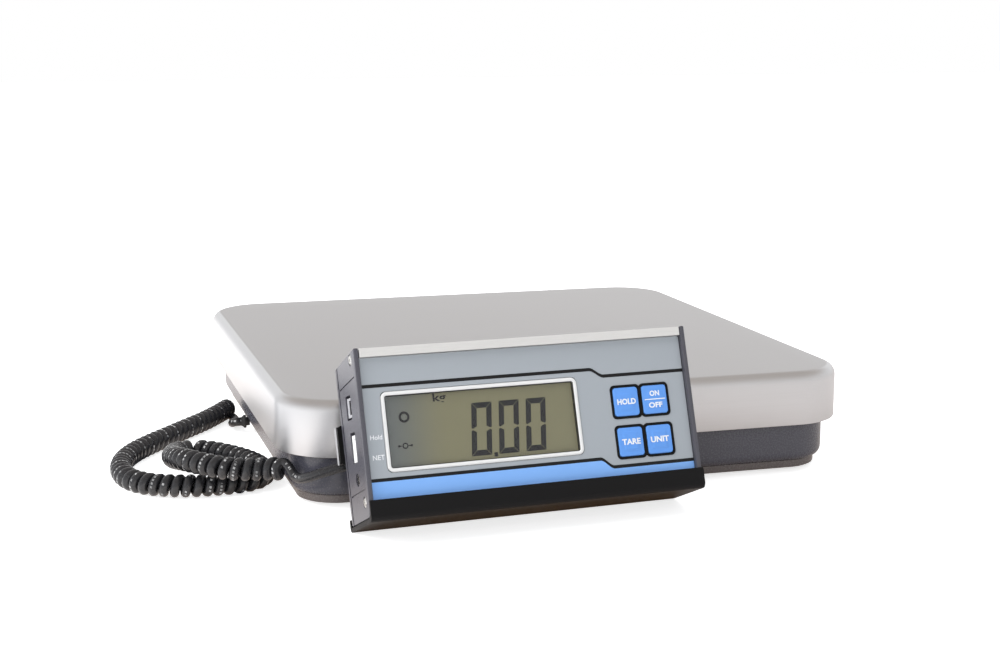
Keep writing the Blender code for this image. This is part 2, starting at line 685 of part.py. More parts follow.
def make_keys(mat):
    """Square key tops with a flange behind the panel and a stem to the switch."""
    flange = 0.0011
    for i, (x, z) in enumerate(key_places(), 1):
        at = UNIT @ Matrix.Translation((x, 0, z))
        back = PANEL_BACK + GAP
        rings = []
        for inset, y in ((0.0022, -KEY_OUT), (0.0008, -KEY_OUT + 0.00015), (0.0002, -KEY_OUT + 0.0005),
                         (0, -KEY_OUT + 0.0009), (0, back), (-flange, back), (-flange, back + 0.0008)):
            radius = max(KEY_R - inset, 0.0004)
            rings.append((rounded(KEY_W - 2 * inset, KEY_H - 2 * inset, radius, 4), y))
        key = lofted(f"key_{i}", rings, "Y", at, mat, False)
        stem = circle(KEY_STEM_D, 16)
        end = BOARD_Y - 0.0010 - KEY_TRAVEL - GAP
        join(key, prism(f"key_stem_{i}", stem, back + 0.0004, end, "Y", at))


def make_display(frame_mat, glass_mat, module_mat):
    """White frame, clear window in it and the display module behind."""
    at = (LCD_X, LCD_Z)
    outline = rounded(LCD_W, LCD_H, 0.001, 2, at)
    frame = prism("lcd_frame", outline, -FRAME_OUT, PANEL_BACK, "Y", UNIT, frame_mat)
    w, h = LCD_W - 2 * FRAME_W, LCD_H - 2 * FRAME_W
    glass_y = 0.0002
    cut(frame, prism("frame_sight", rounded(w, h, 0.0006, 2, at), -0.002, PANEL_BACK + 0.001, "Y", UNIT))
    glass = rounded(w - 2 * GAP, h - 2 * GAP, 0.0005, 2, at)
    prism("lcd_window", glass, glass_y, glass_y + GLASS_T, "Y", UNIT, glass_mat)
    top = PANEL_BACK + GAP
    outline = rounded(LCD_W + 0.002, LCD_H + 0.003, 0.001, 1, at)
    module = prism("lcd_module", outline, top, top + MODULE_T, "Y", UNIT, module_mat)
    step = rounded(w - 0.001, h - 0.001, 0.0004, 1, at)
    join(module, prism("module_cell", step, glass_y + GLASS_T + 0.0004, top + 0.0005, "Y", UNIT))


def make_board(mat):
    """Circuit board held in the slots of the housing, with a switch behind each key."""
    low = floor_at(BOARD_Y - GAP) + GAP
    high = top_at(BOARD_Y + BOARD_T) - 0.0003 - SHEET - GAP
    length = INNER_W - 0.006
    outline = rounded(length, high - low, 0, 1, (0, (low + high) / 2))
    board = prism("circuit_board", outline, BOARD_Y, BOARD_Y + BOARD_T, "Y", UNIT, mat)
    for i, at in enumerate(key_places()):
        outline = rounded(SWITCH, SWITCH, 0, 1, at)
        join(board, prism(f"switch_{i}", outline, BOARD_Y - 0.001, BOARD_Y + 0.0004, "Y", UNIT))
    chip = rounded(0.014, 0.014, 0, 1, (0.020, 0.030))
    join(board, prism("board_chip", chip, BOARD_Y + BOARD_T - 0.0004, BOARD_Y + BOARD_T + 0.002, "Y", UNIT))
    plug = rounded(0.010, 0.006, 0, 1, (UNIT_GLAND[0] + 0.010, UNIT_GLAND[1]))
    join(board, prism("board_plug", plug, BOARD_Y + BOARD_T - 0.0004, BOARD_Y + BOARD_T + 0.007, "Y", UNIT))


def cap_outline(inset=0.0):
    f = -RIM_OUT + inset
    low = under_at(f + 0.0030) + inset
    back = rear_at(0) - inset
    return [(f, FACE_TOP - inset), (f, low + 0.0030), (f + 0.0009, low + 0.0009), (f + 0.0030, low),
            (back, under_at(back) + inset), (rear_at(REAR_TOP[1]) - inset, REAR_TOP[1] - inset)]


def make_cap(name, side, mat):
    """End plate with rounded edges, two shallow parting grooves and countersunk screw seats."""
    lo, hi = sorted((side * CAP_IN, side * UNIT_W / 2))
    cap = prism(name, cap_outline(), lo, hi, "X", UNIT, mat)
    bevel(cap, 0.0007, 2)
    face = side * UNIT_W / 2
    for i, (y, z) in enumerate((SCREW_TOP, SCREW_LOW)):
        a, b = sorted((face - side * 0.0012, face + side * 0.001))
        cut(cap, prism(f"{name}_seat_{i}", circle(SCREW_HEAD + 2 * GAP, 20, (y, z)), a, b, "X", UNIT))
        a, b = sorted((face - side * (CAP_T + 0.001), face))
        cut(cap, prism(f"{name}_hole_{i}", circle(SCREW_D + 2 * GAP, 12, (y, z)), a, b, "X", UNIT))
    for i, (z0, z1) in enumerate((GROOVE_HIGH, GROOVE_LOW)):
        t = GROOVE_W / 2
        y0, y1 = GROOVE_IN, rear_at(z1) - SHELL_IN - GROOVE_IN
        line = [(y0, z0 - t), (y1, z1 - t), (y1, z1 + t), (y0, z0 + t)]
        a, b = sorted((face - side * GROOVE_D, face + side * 0.001))
        cut(cap, prism(f"{name}_groove_{i}", line, a, b, "X", UNIT))
    line = []
    for z, out in ((-0.002, 0), (REAR_TOP[1] + 0.003, 0), (REAR_TOP[1] + 0.003, 1), (-0.002, 1)):
        line.append((rear_at(z) - SHELL_IN + out * SHELL_LINE, z))
    a, b = sorted((face - side * SHELL_DEEP, face + side * 0.001))
    cut(cap, prism(f"{name}_shell_line", line, a, b, "X", UNIT))
    return cap


def make_left_cap(mat):
    cap = make_cap("left_cap", -1, mat)
    a, b = -UNIT_W / 2 - 0.001, -CAP_IN + 0.001
    for name, (z, y, h, w) in (("usb", USB), ("data", DATA)):
        hole = rounded(w + 2 * GAP, h + 2 * GAP, 0.0004, 1, (y, z))
        cut(cap, prism(f"{name}_opening", hole, a, b, "X", UNIT))
    z, y, d = JACK
    cut(cap, prism("jack_opening", circle(d + 2 * GAP, 20, (y, z)), a, b, "X", UNIT))


def make_sockets(shell, white, black):
    """Three connectors that reach into the openings of the left end cap."""
    face = -UNIT_W / 2 + 0.0006
    inside = -CAP_IN + 0.0085
    z, y, h, w = USB
    usb = prism("usb_socket", rounded(w, h - 0.0018, 0.0003, 1, (y, z)), face, inside, "X", UNIT, shell)
    well = rounded(0.0034, h - 0.0044, 0.0003, 1, (y - 0.0009, z))
    cut(usb, prism("usb_well", well, face - 0.001, face + 0.0046, "X", UNIT))
    tongue = rounded(0.0036, 0.0008, 0, 1, (y - 0.0009, z + 0.0004))
    join(usb, prism("usb_tongue", tongue, face + 0.0006, face + 0.0050, "X", UNIT))
    z, y, h, w = DATA
    body = rounded(w, h - 0.0012, 0.0003, 1, (y, z - 0.0006))
    data = prism("data_socket", body, face, inside, "X", UNIT, white)
    well = rounded(w - 0.0026, h - 0.0050, 0.0003, 1, (y, z - 0.0006))
    cut(data, prism("data_well", well, face - 0.001, face + 0.0005, "X", UNIT))
    z, y, d = JACK
    jack = prism("power_jack", circle(d, 20, (y, z)), face, inside, "X", UNIT, black, True)
    ring = [(circle(d * 0.72, 20, (y, z)), face - 0.001), (circle(d * 0.72, 20, (y, z)), face + 0.0036)]
    cut(jack, lofted("jack_well", ring, "X", UNIT))
    join(jack, prism("jack_pin", circle(0.0028, 12, (y, z)), face + 0.0002, face + 0.0040, "X", UNIT))


def make_cap_screws(mat):
    """Domed screws with a cross recess, two in each end cap."""
    number = 1
    for side in (-1, 1):
        face = side * UNIT_W / 2
        for y, z in (SCREW_TOP, SCREW_LOW):
            h = SCREW_HEAD / 2
            s = SCREW_D / 2
            seat = face - side * 0.0009
            marks = [(s * 0.6, face - side * 0.011), (s, face - side * 0.010), (s, seat), (h, seat),
                     (h, seat + side * 0.0007), (h * 0.72, seat + side * 0.0011)]
            screw = turned(f"cap_screw_{number}", marks, 20, "X", UNIT, mat, (y, z))
            a, b = sorted((seat + side * 0.0005, seat + side * 0.002))
            for k, (w, t) in enumerate(((0.0026, 0.0006), (0.0006, 0.0026))):
                cut(screw, prism(f"cross_{number}_{k}", rounded(w, t, 0, 1, (y, z)), a, b, "X", UNIT))
            number += 1


def lean_matrix():
    """Frame on the leaning back face, with Z up that face."""
    lean = math.atan2(REAR_TOP[0] - REAR_LOW[0], REAR_TOP[1] - REAR_LOW[1])
    return UNIT @ Matrix.Translation((0, REAR_LOW[0], 0)) @ Matrix.Rotation(-lean, 4, "X")


def make_rear_cover(mat):
    """Back plate with the battery opening, its door recess and the cord entry."""
    back = lean_matrix()
    height = REAR_TOP[1] - 0.0006
    outline = rounded(INNER_W, height, 0, 1, (0, 0.0004 + height / 2))
    cover = prism("rear_cover", outline, -COVER_T, -0.0003, "Y", back, mat)
    bevel(cover, 0.0004, 1)
    top = 0.0004 + height
    recess = rounded(DOOR_W + 2 * GAP, 2 * (top - DOOR_LOW) + 2 * GAP, 0.0008, 2, (0, top))
    depth = DOOR_T + GAP
    cut(cover, prism("door_recess", recess, -0.0003 - depth, 0.001, "Y", back))
    opening = rounded(PACK_W + 0.0008, PACK_H + 0.001, 0.001, 2, (0, DOOR_LOW + PACK_UP + PACK_H / 2))
    cut(cover, prism("battery_opening", opening, -COVER_T - 0.001, 0.001, "Y", back))
    entry = circle(GLAND_SLEEVE * 0.8, 20, UNIT_GLAND)
    cut(cover, prism("cover_entry", entry, -COVER_T - 0.001, 0.001, "Y", back))


def make_battery(door_mat, pack_mat):
    """Door that slides up out of its recess, and the pack under it."""
    back = lean_matrix()
    top = REAR_TOP[1] - 0.0004
    h = top - DOOR_LOW
    outline = rounded(DOOR_W, h, 0.0008, 2, (0, DOOR_LOW + h / 2))
    door = prism("battery_door", outline, -0.0003 - DOOR_T, -0.0003, "Y", back, door_mat)
    for i in range(3):
        grip = rounded(0.020, 0.0009, 0, 1, (0, DOOR_LOW + 0.0050 + 0.0022 * i))
        join(door, prism(f"door_grip_{i}", grip, -0.0006, 0.0001, "Y", back))
    low = DOOR_LOW + PACK_UP
    body = rounded(PACK_W, PACK_H, 0.003, 3, (0, low + PACK_H / 2))
    inner = -0.0003 - DOOR_T - 2 * GAP
    prism("battery_pack", body, inner - PACK_T, inner, "Y", back, pack_mat)


def bend(centre, radius, start, end):
    """Points round a fold, from one angle to another."""
    angles = [math.radians(start + (end - start) * i / 4) for i in range(5)]
    return [(centre[0] + radius * math.cos(a), centre[1] + radius * math.sin(a)) for a in angles]


def make_bracket(mat):
    """Folded sheet: sloping tray with a rounded front lip, a web up the back and a cross strap."""
    half = UNIT_W / 2
    inner = BRACKET_BACK - BRACKET_T
    lip = -LIP_FRONT + LIP_T
    points = bend((-LIP_FRONT + BEND_FRONT, TRAY_FRONT + BEND_FRONT), BEND_FRONT, 180, 270)
    points += bend((BRACKET_BACK - BEND_BACK, TRAY_BACK + BEND_BACK), BEND_BACK, 270, 360)
    points += [(BRACKET_BACK, 0.0030), (inner, 0.0030), (inner, tray_at(inner) + BRACKET_T)]
    floor = tray_at(lip) + BRACKET_T
    points += [(lip + 0.0016, floor), (lip, floor + 0.0016), (lip, LIP_TOP)]
    points += [(-LIP_FRONT + 0.0006, LIP_TOP), (-LIP_FRONT, LIP_TOP - 0.0006)]
    tray = prism("bracket", points, -half, half, "X", UNIT, mat)
    back = lean_matrix()
    middle = STRAP_LOW + STRAP_H / 2
    top = STRAP_LOW + STRAP_H
    web = rounded(WEB_W, top - 0.003, 0, 1, (0, top / 2))
    join(tray, prism("bracket_web", web, GAP + 0.0001, GAP + STRAP_T - 0.0001, "Y", back))
    strap = rounded(STRAP_W, STRAP_H, 0.002, 2, (0, middle))
    join(tray, prism("bracket_strap", strap, GAP, GAP + STRAP_T, "Y", back))
    end = rounded(STRAP_END + 0.001, STRAP_H - 0.0012, 0.001, 2, (STRAP_T + STRAP_END / 2 - 0.0005, middle))
    join(tray, prism("bracket_end", end, -STRAP_W / 2 - 0.0002, STRAP_T - STRAP_W / 2, "X", back))


# Cord and glands

def spline(points, spacing):
    """Smooth curve through the route points, read off at an even spacing."""
    pts = [Vector(p) for p in points]
    pts = [2 * pts[0] - pts[1]] + pts + [2 * pts[-1] - pts[-2]]
    fine = []
    for i in range(1, len(pts) - 2):
        p0, p1, p2, p3 = pts[i - 1:i + 3]
        for k in range(16):
            t = k / 16
            a = 2 * p1 + (p2 - p0) * t + (2 * p0 - 5 * p1 + 4 * p2 - p3) * t * t
            fine.append((a + (3 * p1 - p0 - 3 * p2 + p3) * t ** 3) / 2)
    fine.append(pts[-2])
    total = sum((b - a).length for a, b in zip(fine, fine[1:]))
    count = max(int(round(total / spacing)), 2)
    inner = []
    run = 0.0
    for a, b in zip(fine, fine[1:]):
        run += (b - a).length
        if run >= total / count * (len(inner) + 1) and len(inner) < count - 1:
            inner.append(b)
    return [fine[0], fine[3]] + inner + [fine[-4], fine[-1]]


def tube(name, points, diameter, resolution, mat):
    curve = bpy.data.curves.new(name, "CURVE")
    curve.dimensions = "3D"
    curve.bevel_depth = diameter / 2
    curve.bevel_resolution = resolution
    curve.use_fill_caps = True
    line = curve.splines.new("POLY")
    line.points.add(len(points) - 1)
    for point, place_at in zip(line.points, points):
        point.co = (*place_at, 1.0)
    curve.materials.append(mat)
    obj = bpy.data.objects.new(name, curve)
    obj.matrix_world = PLATFORM
    PARTS.objects.link(obj)
    return obj


def gland_profile(start, length, flange, grooves):
    """Flange, then a tapering sleeve, with grip grooves if any."""
    f = flange / 2
    s = min(GLAND_SLEEVE / 2, f - 0.0006)
    e = start + GLAND_FLANGE
    steps = [(s * 0.78, start - 0.0022), (s * 0.78, start), (f, start), (f, e - 0.0003), (f - 0.0003, e), (s, e)]
    for i in range(grooves):
        a = e + (length - GLAND_FLANGE) * (0.22 + 0.26 * i)
        r = s * (1 - 0.07 * (i + 1))
        steps += [(r, a), (r * 0.86, a + 0.0002), (r * 0.86, a + 0.0008), (r, a + 0.0010)]
    steps.append((s * 0.75, start + length))
    return steps


def make_glands(mat):
    y, z = BASE_GLAND
    profile = gland_profile(GAP, BASE_GLAND_L, BASE_GLAND_D, 0)
    marks = [(r, -BASE_HALF - t) for r, t in profile]
    turned("base_gland", marks, 20, "X", PLATFORM, mat, (y, z))
    back = lean_matrix()
    marks = gland_profile(-0.0003 + GAP, GLAND_L, GLAND_D, 3)
    turned("indicator_gland", marks, 20, "Y", back, mat, UNIT_GLAND)


def unit_gland_end(extra):
    """Point past the end of the gland on the display unit, from the middle of the pan."""
    x, z = UNIT_GLAND
    return PLATFORM.inverted() @ lean_matrix() @ Vector((x, GLAND_L + extra, z))


def make_cord(mat):
    out = -BASE_HALF - BASE_GLAND_L
    start = [(out - 4 * GAP, *BASE_GLAND), (out - 0.0031, *BASE_GLAND)]
    tube("lead_base", spline(start + LEAD_BASE_ROUTE, WIRE_D * 1.2), WIRE_D, 2, mat)
    tube("coil", spline(COIL_ROUTE, COIL_D * 1.1), COIL_D, 3, mat)
    finish = [unit_gland_end(0.0052) + Vector((-0.0030, -0.0003, 0.0004)), unit_gland_end(0.0024),
              unit_gland_end(3 * GAP)]
    tube("lead_indicator", spline(LEAD_UNIT_ROUTE + finish, WIRE_D * 1.2), WIRE_D, 2, mat)


def main():
    steel = material("brushed_steel", (0.60, 0.59, 0.58), 1.0, 0.32)
    base = material("base_grey", (0.16, 0.17, 0.19), 0.1, 0.35)
    cast = material("cast_aluminium", (0.55, 0.56, 0.57), 1.0, 0.45)
    cell = material("cell_aluminium", (0.62, 0.63, 0.65), 1.0, 0.35)
    zinc = material("zinc_steel", (0.58, 0.58, 0.56), 1.0, 0.35)
    rubber = material("black_rubber", (0.02, 0.02, 0.02), 0.0, 0.8)
    anodised = material("anodised_aluminium", (0.66, 0.67, 0.70), 1.0, 0.38)
    film = material("overlay_film", (0.36, 0.39, 0.43), 0.0, 0.35)
    white = material("frame_white", (0.85, 0.85, 0.85), 0.0, 0.4)
    glass = material("window_clear", (0.80, 0.85, 0.82), 0.0, 0.05, 0.25)
    screen = material("screen_olive", (0.27, 0.29, 0.16), 0.0, 0.3)
    black = material("satin_black", (0.015, 0.015, 0.017), 0.0, 0.35)
    blue = material("key_blue", (0.05, 0.26, 0.75), 0.0, 0.35)
    cap = material("cap_grey", (0.30, 0.30, 0.34), 0.0, 0.45)
    board = material("board_green", (0.03, 0.16, 0.07), 0.0, 0.4)
    pack = material("pack_sleeve", (0.05, 0.12, 0.30), 0.0, 0.4)
    cord = material("cord_black", (0.012, 0.012, 0.013), 0.0, 0.3)
    make_pan(steel)
    make_pan_pads(rubber)
    make_load_frame(cast)
    make_load_cell(cell)
    make_spacers(zinc)
    make_bolts(zinc)
    make_base_floor(base)
    make_base_wall(base)
    make_base_ribs(base)
    make_feet(rubber, zinc)
    make_housing(anodised)
    make_overlay(film)
    make_display(white, glass, screen)
    make_keypad_frame(black)
    make_keys(blue)
    make_board(board)
    make_left_cap(cap)
    make_cap("right_cap", 1, cap)
    make_cap_screws(zinc)
    make_sockets(zinc, white, black)
    make_rear_cover(black)
    make_battery(black, pack)
    make_bracket(black)
    make_glands(rubber)
    make_cord(cord)


main()
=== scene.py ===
import math

import bmesh
import bpy
from mathutils import Matrix, Vector


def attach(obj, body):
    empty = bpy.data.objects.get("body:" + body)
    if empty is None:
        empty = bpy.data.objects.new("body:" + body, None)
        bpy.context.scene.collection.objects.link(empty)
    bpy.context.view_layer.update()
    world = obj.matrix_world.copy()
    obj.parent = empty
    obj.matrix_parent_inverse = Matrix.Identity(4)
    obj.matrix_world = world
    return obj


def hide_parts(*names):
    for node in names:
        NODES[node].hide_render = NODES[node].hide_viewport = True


# The frame, the camera and the lights.
# The camera stands where the photographer's did: low, in front and to the left of the scale.

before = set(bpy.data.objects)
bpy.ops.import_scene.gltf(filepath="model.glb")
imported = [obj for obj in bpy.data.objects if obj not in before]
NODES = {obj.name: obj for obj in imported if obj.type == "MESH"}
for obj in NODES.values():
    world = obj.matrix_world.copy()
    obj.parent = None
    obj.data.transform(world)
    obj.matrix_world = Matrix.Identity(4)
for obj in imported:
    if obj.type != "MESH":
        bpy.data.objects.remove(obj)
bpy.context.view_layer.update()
MM = 0.001

PLATFORM_AT = Vector((0.0, 0.03374, 0.0))
CAMERA_AT = (-0.2920, -0.96083, 0.25144)
CAMERA_TURN = 16.389
CAMERA_DOWN = 10.487
LENS = 61.48

scene = bpy.context.scene
camera = bpy.data.objects.new("camera", bpy.data.cameras.new("camera"))
camera.location = CAMERA_AT
camera.rotation_euler = (math.radians(90 - CAMERA_DOWN), 0, math.radians(-CAMERA_TURN))
camera.data.lens = LENS
camera.data.sensor_width = 36
camera.data.clip_start = 0.01
scene.collection.objects.link(camera)
scene.camera = camera
scene.view_settings.view_transform = "Standard"


def area_light(name, at, aim, size, power):
    """Soft box at one point, aimed at another; it lights the scale but doesn't mirror in it."""
    light = bpy.data.lights.new(name, "AREA")
    light.shape = "RECTANGLE"
    light.size, light.size_y = size
    light.energy = power
    obj = bpy.data.objects.new(name, light)
    obj.location = at
    obj.rotation_euler = (Vector(aim) - Vector(at)).to_track_quat("-Z", "Y").to_euler()
    obj.visible_glossy = False
    scene.collection.objects.link(obj)


area_light("box_left", (-1.35, 0.05, 0.75), (-0.15, 0.05, 0.0), (1.6, 1.3), 30)
area_light("box_above", (0.1, -0.2, 1.5), (0.0, 0.0, 0.0), (1.4, 1.2), 8)
area_light("box_front", (-0.5, -1.5, 0.7), (0.0, 0.0, 0.05), (0.9, 0.7), 5)


# Small helpers for shader nodes, and the shared grain group.
# The group gives a colour, a roughness and a normal that all vary with one stretched noise.

def link(tree, a, b):
    tree.links.new(a, b)


def math_node(tree, operation, a, b=0.0, clamp=False):
    node = tree.nodes.new("ShaderNodeMath")
    node.operation = operation
    node.use_clamp = clamp
    for socket, value in zip(node.inputs, (a, b)):
        if isinstance(value, (int, float)):
            socket.default_value = value
        else:
            link(tree, value, socket)
    return node.outputs[0]


def ramp(tree, value, lo, hi, to_lo=0.0, to_hi=1.0, smooth=True):
    node = tree.nodes.new("ShaderNodeMapRange")
    node.interpolation_type = "SMOOTHSTEP" if smooth else "LINEAR"
    for name, number in (("From Min", lo), ("From Max", hi), ("To Min", to_lo), ("To Max", to_hi)):
        node.inputs[name].default_value = number
    link(tree, value, node.inputs["Value"])
    return node.outputs["Result"]


def noise_node(tree, vector, scale, detail=3.0, rough=0.6):
    node = tree.nodes.new("ShaderNodeTexNoise")
    node.inputs["Scale"].default_value = scale
    node.inputs["Detail"].default_value = detail
    node.inputs["Roughness"].default_value = rough
    link(tree, vector, node.inputs["Vector"])
    return node.outputs["Fac"]


def mix_colour(tree, factor, a, b):
    node = tree.nodes.new("ShaderNodeMix")
    node.data_type = "RGBA"
    link(tree, factor, node.inputs["Factor"])
    for socket, value in zip([s for s in node.inputs if s.type == "RGBA"], (a, b)):
        if isinstance(value, tuple):
            socket.default_value = (*value, 1.0)
        else:
            link(tree, value, socket)
    return [s for s in node.outputs if s.type == "RGBA"][0]


def mix_vector(tree, factor, a, b):
    node = tree.nodes.new("ShaderNodeMix")
    node.data_type = "VECTOR"
    link(tree, factor, node.inputs["Factor"])
    for socket, value in zip([s for s in node.inputs if s.type == "VECTOR" and s.name in "AB"], (a, b)):
        if isinstance(value, tuple):
            socket.default_value = value
        else:
            link(tree, value, socket)
    return [s for s in node.outputs if s.type == "VECTOR"][0]


def make_grain_group():
    tree = bpy.data.node_groups.new("surface_grain", "ShaderNodeTree")
    for name, kind in (("Colour", "NodeSocketColor"), ("Spread", "NodeSocketFloat"),
                       ("Roughness", "NodeSocketFloat"), ("Rough Spread", "NodeSocketFloat"),
                       ("Scale", "NodeSocketVector"), ("Height", "NodeSocketFloat"),
                       ("Smudge", "NodeSocketFloat")):
        tree.interface.new_socket(name, in_out="INPUT", socket_type=kind)
    for name, kind in (("Colour", "NodeSocketColor"), ("Roughness", "NodeSocketFloat"),
                       ("Normal", "NodeSocketVector")):
        tree.interface.new_socket(name, in_out="OUTPUT", socket_type=kind)
    start = tree.nodes.new("NodeGroupInput")
    end = tree.nodes.new("NodeGroupOutput")
    coords = tree.nodes.new("ShaderNodeTexCoord").outputs["Object"]
    stretch = tree.nodes.new("ShaderNodeVectorMath")
    stretch.operation = "MULTIPLY"
    link(tree, coords, stretch.inputs[0])
    link(tree, start.outputs["Scale"], stretch.inputs[1])
    fine = noise_node(tree, stretch.outputs[0], 1.0, 4.0, 0.65)
    broad = noise_node(tree, coords, 14.0, 3.0, 0.55)
    fine_off = math_node(tree, "SUBTRACT", fine, 0.5)
    broad_off = math_node(tree, "MULTIPLY", math_node(tree, "SUBTRACT", broad, 0.5), start.outputs["Smudge"])
    tone = math_node(tree, "MULTIPLY", fine_off, start.outputs["Spread"])
    tone = math_node(tree, "ADD", math_node(tree, "ADD", tone, broad_off), 1.0)
    shade = tree.nodes.new("ShaderNodeVectorMath")
    shade.operation = "SCALE"
    link(tree, start.outputs["Colour"], shade.inputs[0])
    link(tree, tone, shade.inputs["Scale"])
    link(tree, shade.outputs[0], end.inputs["Colour"])
    rough = math_node(tree, "MULTIPLY", fine_off, start.outputs["Rough Spread"])
    rough = math_node(tree, "ADD", rough, start.outputs["Roughness"])
    rough = math_node(tree, "ADD", rough, broad_off, True)
    link(tree, rough, end.inputs["Roughness"])
    bump = tree.nodes.new("ShaderNodeBump")
    bump.inputs["Strength"].default_value = 1.0
    link(tree, start.outputs["Height"], bump.inputs["Distance"])
    link(tree, fine, bump.inputs["Height"])
    link(tree, bump.outputs[0], end.inputs["Normal"])
    return tree


GRAIN = make_grain_group()


def finish(name, colour, rough, metallic=0.0, spread=0.10, rough_spread=0.15, scale=(1500, 1500, 1500),
           height=0.00001, smudge=0.05, gloss=0.5):
    """Principled material whose colour, roughness and normal come through the grain group."""
    mat = bpy.data.materials.new(name)
    mat.use_nodes = True
    tree = mat.node_tree
    shader = tree.nodes["Principled BSDF"]
    grain = tree.nodes.new("ShaderNodeGroup")
    grain.name = "grain"
    grain.node_tree = GRAIN
    grain.inputs["Colour"].default_value = (*colour, 1.0)
    grain.inputs["Spread"].default_value = spread
    grain.inputs["Roughness"].default_value = rough
    grain.inputs["Rough Spread"].default_value = rough_spread
    grain.inputs["Scale"].default_value = scale
    grain.inputs["Height"].default_value = height
    grain.inputs["Smudge"].default_value = smudge
    link(tree, grain.outputs["Colour"], shader.inputs["Base Color"])
    link(tree, grain.outputs["Roughness"], shader.inputs["Roughness"])
    link(tree, grain.outputs["Normal"], shader.inputs["Normal"])
    shader.inputs["Metallic"].default_value = metallic
    shader.inputs["Specular IOR Level"].default_value = gloss
    return mat


# The white surround.
# To the camera the world and the floor are white, and the floor keeps a faint shadow. Metal and
# glass see a warmer grey high up. On the floor they see painted reflections: dimmer round the
# scale, brighter to its left, warm to its right, and grey stretches that paint dark streaks by its corner.

WHITE = (1.0, 1.0, 1.0)
WORLD_LIGHT = (0.50, 0.51, 0.53)
OVERHEAD = (0.62, 0.57, 0.53)
FLOOR_PALE = (0.86, 0.86, 0.86)
REFLECTION_GREY = (0.22, 0.22, 0.24)
REFLECTION_WARM = (1.0, 0.50, 0.15)
CORNER_X, CORNER_Y = -0.16, -0.10


def seen_rays(tree):
    """Camera mask, glossy mask, and one for all rays that show the surround itself."""
    path = tree.nodes.new("ShaderNodeLightPath")
    by_camera, glossy = path.outputs["Is Camera Ray"], path.outputs["Is Glossy Ray"]
    seen = math_node(tree, "MAXIMUM", by_camera, glossy)
    return by_camera, glossy, math_node(tree, "MAXIMUM", seen, path.outputs["Is Transmission Ray"])


def make_world():
    world = bpy.data.worlds.new("studio")
    scene.world = world
    world.use_nodes = True
    tree = world.node_tree
    background = tree.nodes["Background"]
    by_camera, _, seen = seen_rays(tree)
    split = tree.nodes.new("ShaderNodeSeparateXYZ")
    link(tree, tree.nodes.new("ShaderNodeTexCoord").outputs["Generated"], split.inputs[0])
    room = mix_colour(tree, ramp(tree, split.outputs["Z"], 0.30, 0.70), WHITE, OVERHEAD)
    colour = mix_colour(tree, seen, WORLD_LIGHT, room)
    link(tree, mix_colour(tree, by_camera, colour, WHITE), background.inputs["Color"])
    background.inputs["Strength"].default_value = 1.0


def floor_material():
    mat = bpy.data.materials.new("white_floor")
    mat.use_nodes = True
    tree = mat.node_tree
    shader = tree.nodes["Principled BSDF"]
    shader.inputs["Roughness"].default_value = 0.9
    by_camera, glossy, seen = seen_rays(tree)
    coords = tree.nodes.new("ShaderNodeTexCoord").outputs["Object"]
    away = tree.nodes.new("ShaderNodeVectorMath")
    away.operation = "LENGTH"
    link(tree, coords, away.inputs[0])
    glow = ramp(tree, away.outputs["Value"], 0.5, 1.4, 0.74, 1.0)
    split = tree.nodes.new("ShaderNodeSeparateXYZ")
    link(tree, coords, split.inputs[0])
    # Painted reflection: to metal and glass the floor glows brighter to the left of the scale and dim round
    # it.
    left = ramp(tree, split.outputs["X"], -0.12, -0.25, 0.22, 1.15)
    # Painted reflection: grey stretches by the pan's front corner, seen only by glossy rays, paint dark
    # streaks on the pan.
    beyond = math_node(tree, "MULTIPLY", math_node(tree, "ADD", split.outputs["X"], -CORNER_X), -1.0)
    turn = math_node(tree, "ARCTAN2", beyond, math_node(tree, "ADD", split.outputs["Y"], -CORNER_Y))
    gap = math_node(tree, "MULTIPLY", ramp(tree, turn, 0.36, 0.48), ramp(tree, turn, 0.74, 0.58))
    gap = math_node(tree, "MAXIMUM", gap, ramp(tree, turn, 2.60, 2.85))
    corner = ramp(tree, beyond, 0.08, 0.14, 0.0, 0.4)
    corner = math_node(tree, "MULTIPLY", ramp(tree, turn, 0.74, 1.0), corner)
    grey = math_node(tree, "MULTIPLY", math_node(tree, "MAXIMUM", gap, corner), glossy)
    link(tree, mix_colour(tree, grey, FLOOR_PALE, REFLECTION_GREY), shader.inputs["Base Color"])
    left = math_node(tree, "MULTIPLY", left, ramp(tree, grey, 0.0, 1.0, 1.0, 0.0, smooth=False))
    glow = math_node(tree, "MULTIPLY", glow, math_node(tree, "MAXIMUM", left, by_camera))
    # Painted reflection: metal and glass see the floor warm to the right.
    painted_warm_reflection = mix_colour(tree, ramp(tree, split.outputs["X"], -0.30, -0.05), WHITE, REFLECTION_WARM)
    link(tree, mix_colour(tree, by_camera, painted_warm_reflection, WHITE), shader.inputs["Emission Color"])
    link(tree, math_node(tree, "MULTIPLY", glow, seen), shader.inputs["Emission Strength"])
    return mat


def make_floor():
    bm = bmesh.new()
    bmesh.ops.create_grid(bm, x_segments=1, y_segments=1, size=6.0)
    mesh = bpy.data.meshes.new("floor")
    bm.to_mesh(mesh)
    bm.free()
    mesh.materials.append(floor_material())
    floor = bpy.data.objects.new("floor", mesh)
    scene.collection.objects.link(floor)


make_world()
make_floor()


# Shape helpers: outlines, lofts through outlines, and finishing a bmesh as a riding piece.

def rounded(width, height, radius, steps, centre=(0.0, 0.0)):
    cx, cy = centre
    points = []
    for quarter in range(4):
        sx = 1 if quarter in (0, 3) else -1
        sy = 1 if quarter in (0, 1) else -1
        for step in range(steps + 1):
            a = math.pi / 2 * (quarter + step / steps)
            x = sx * (width / 2 - radius) + radius * math.cos(a)
            y = sy * (height / 2 - radius) + radius * math.sin(a)
            points.append((cx + x, cy + y))
    return points


def circle(diameter, steps, centre=(0.0, 0.0)):
    turn = 2 * math.pi / steps
    r = diameter / 2
    return [(centre[0] + r * math.cos(i * turn), centre[1] + r * math.sin(i * turn))
            for i in range(steps)]


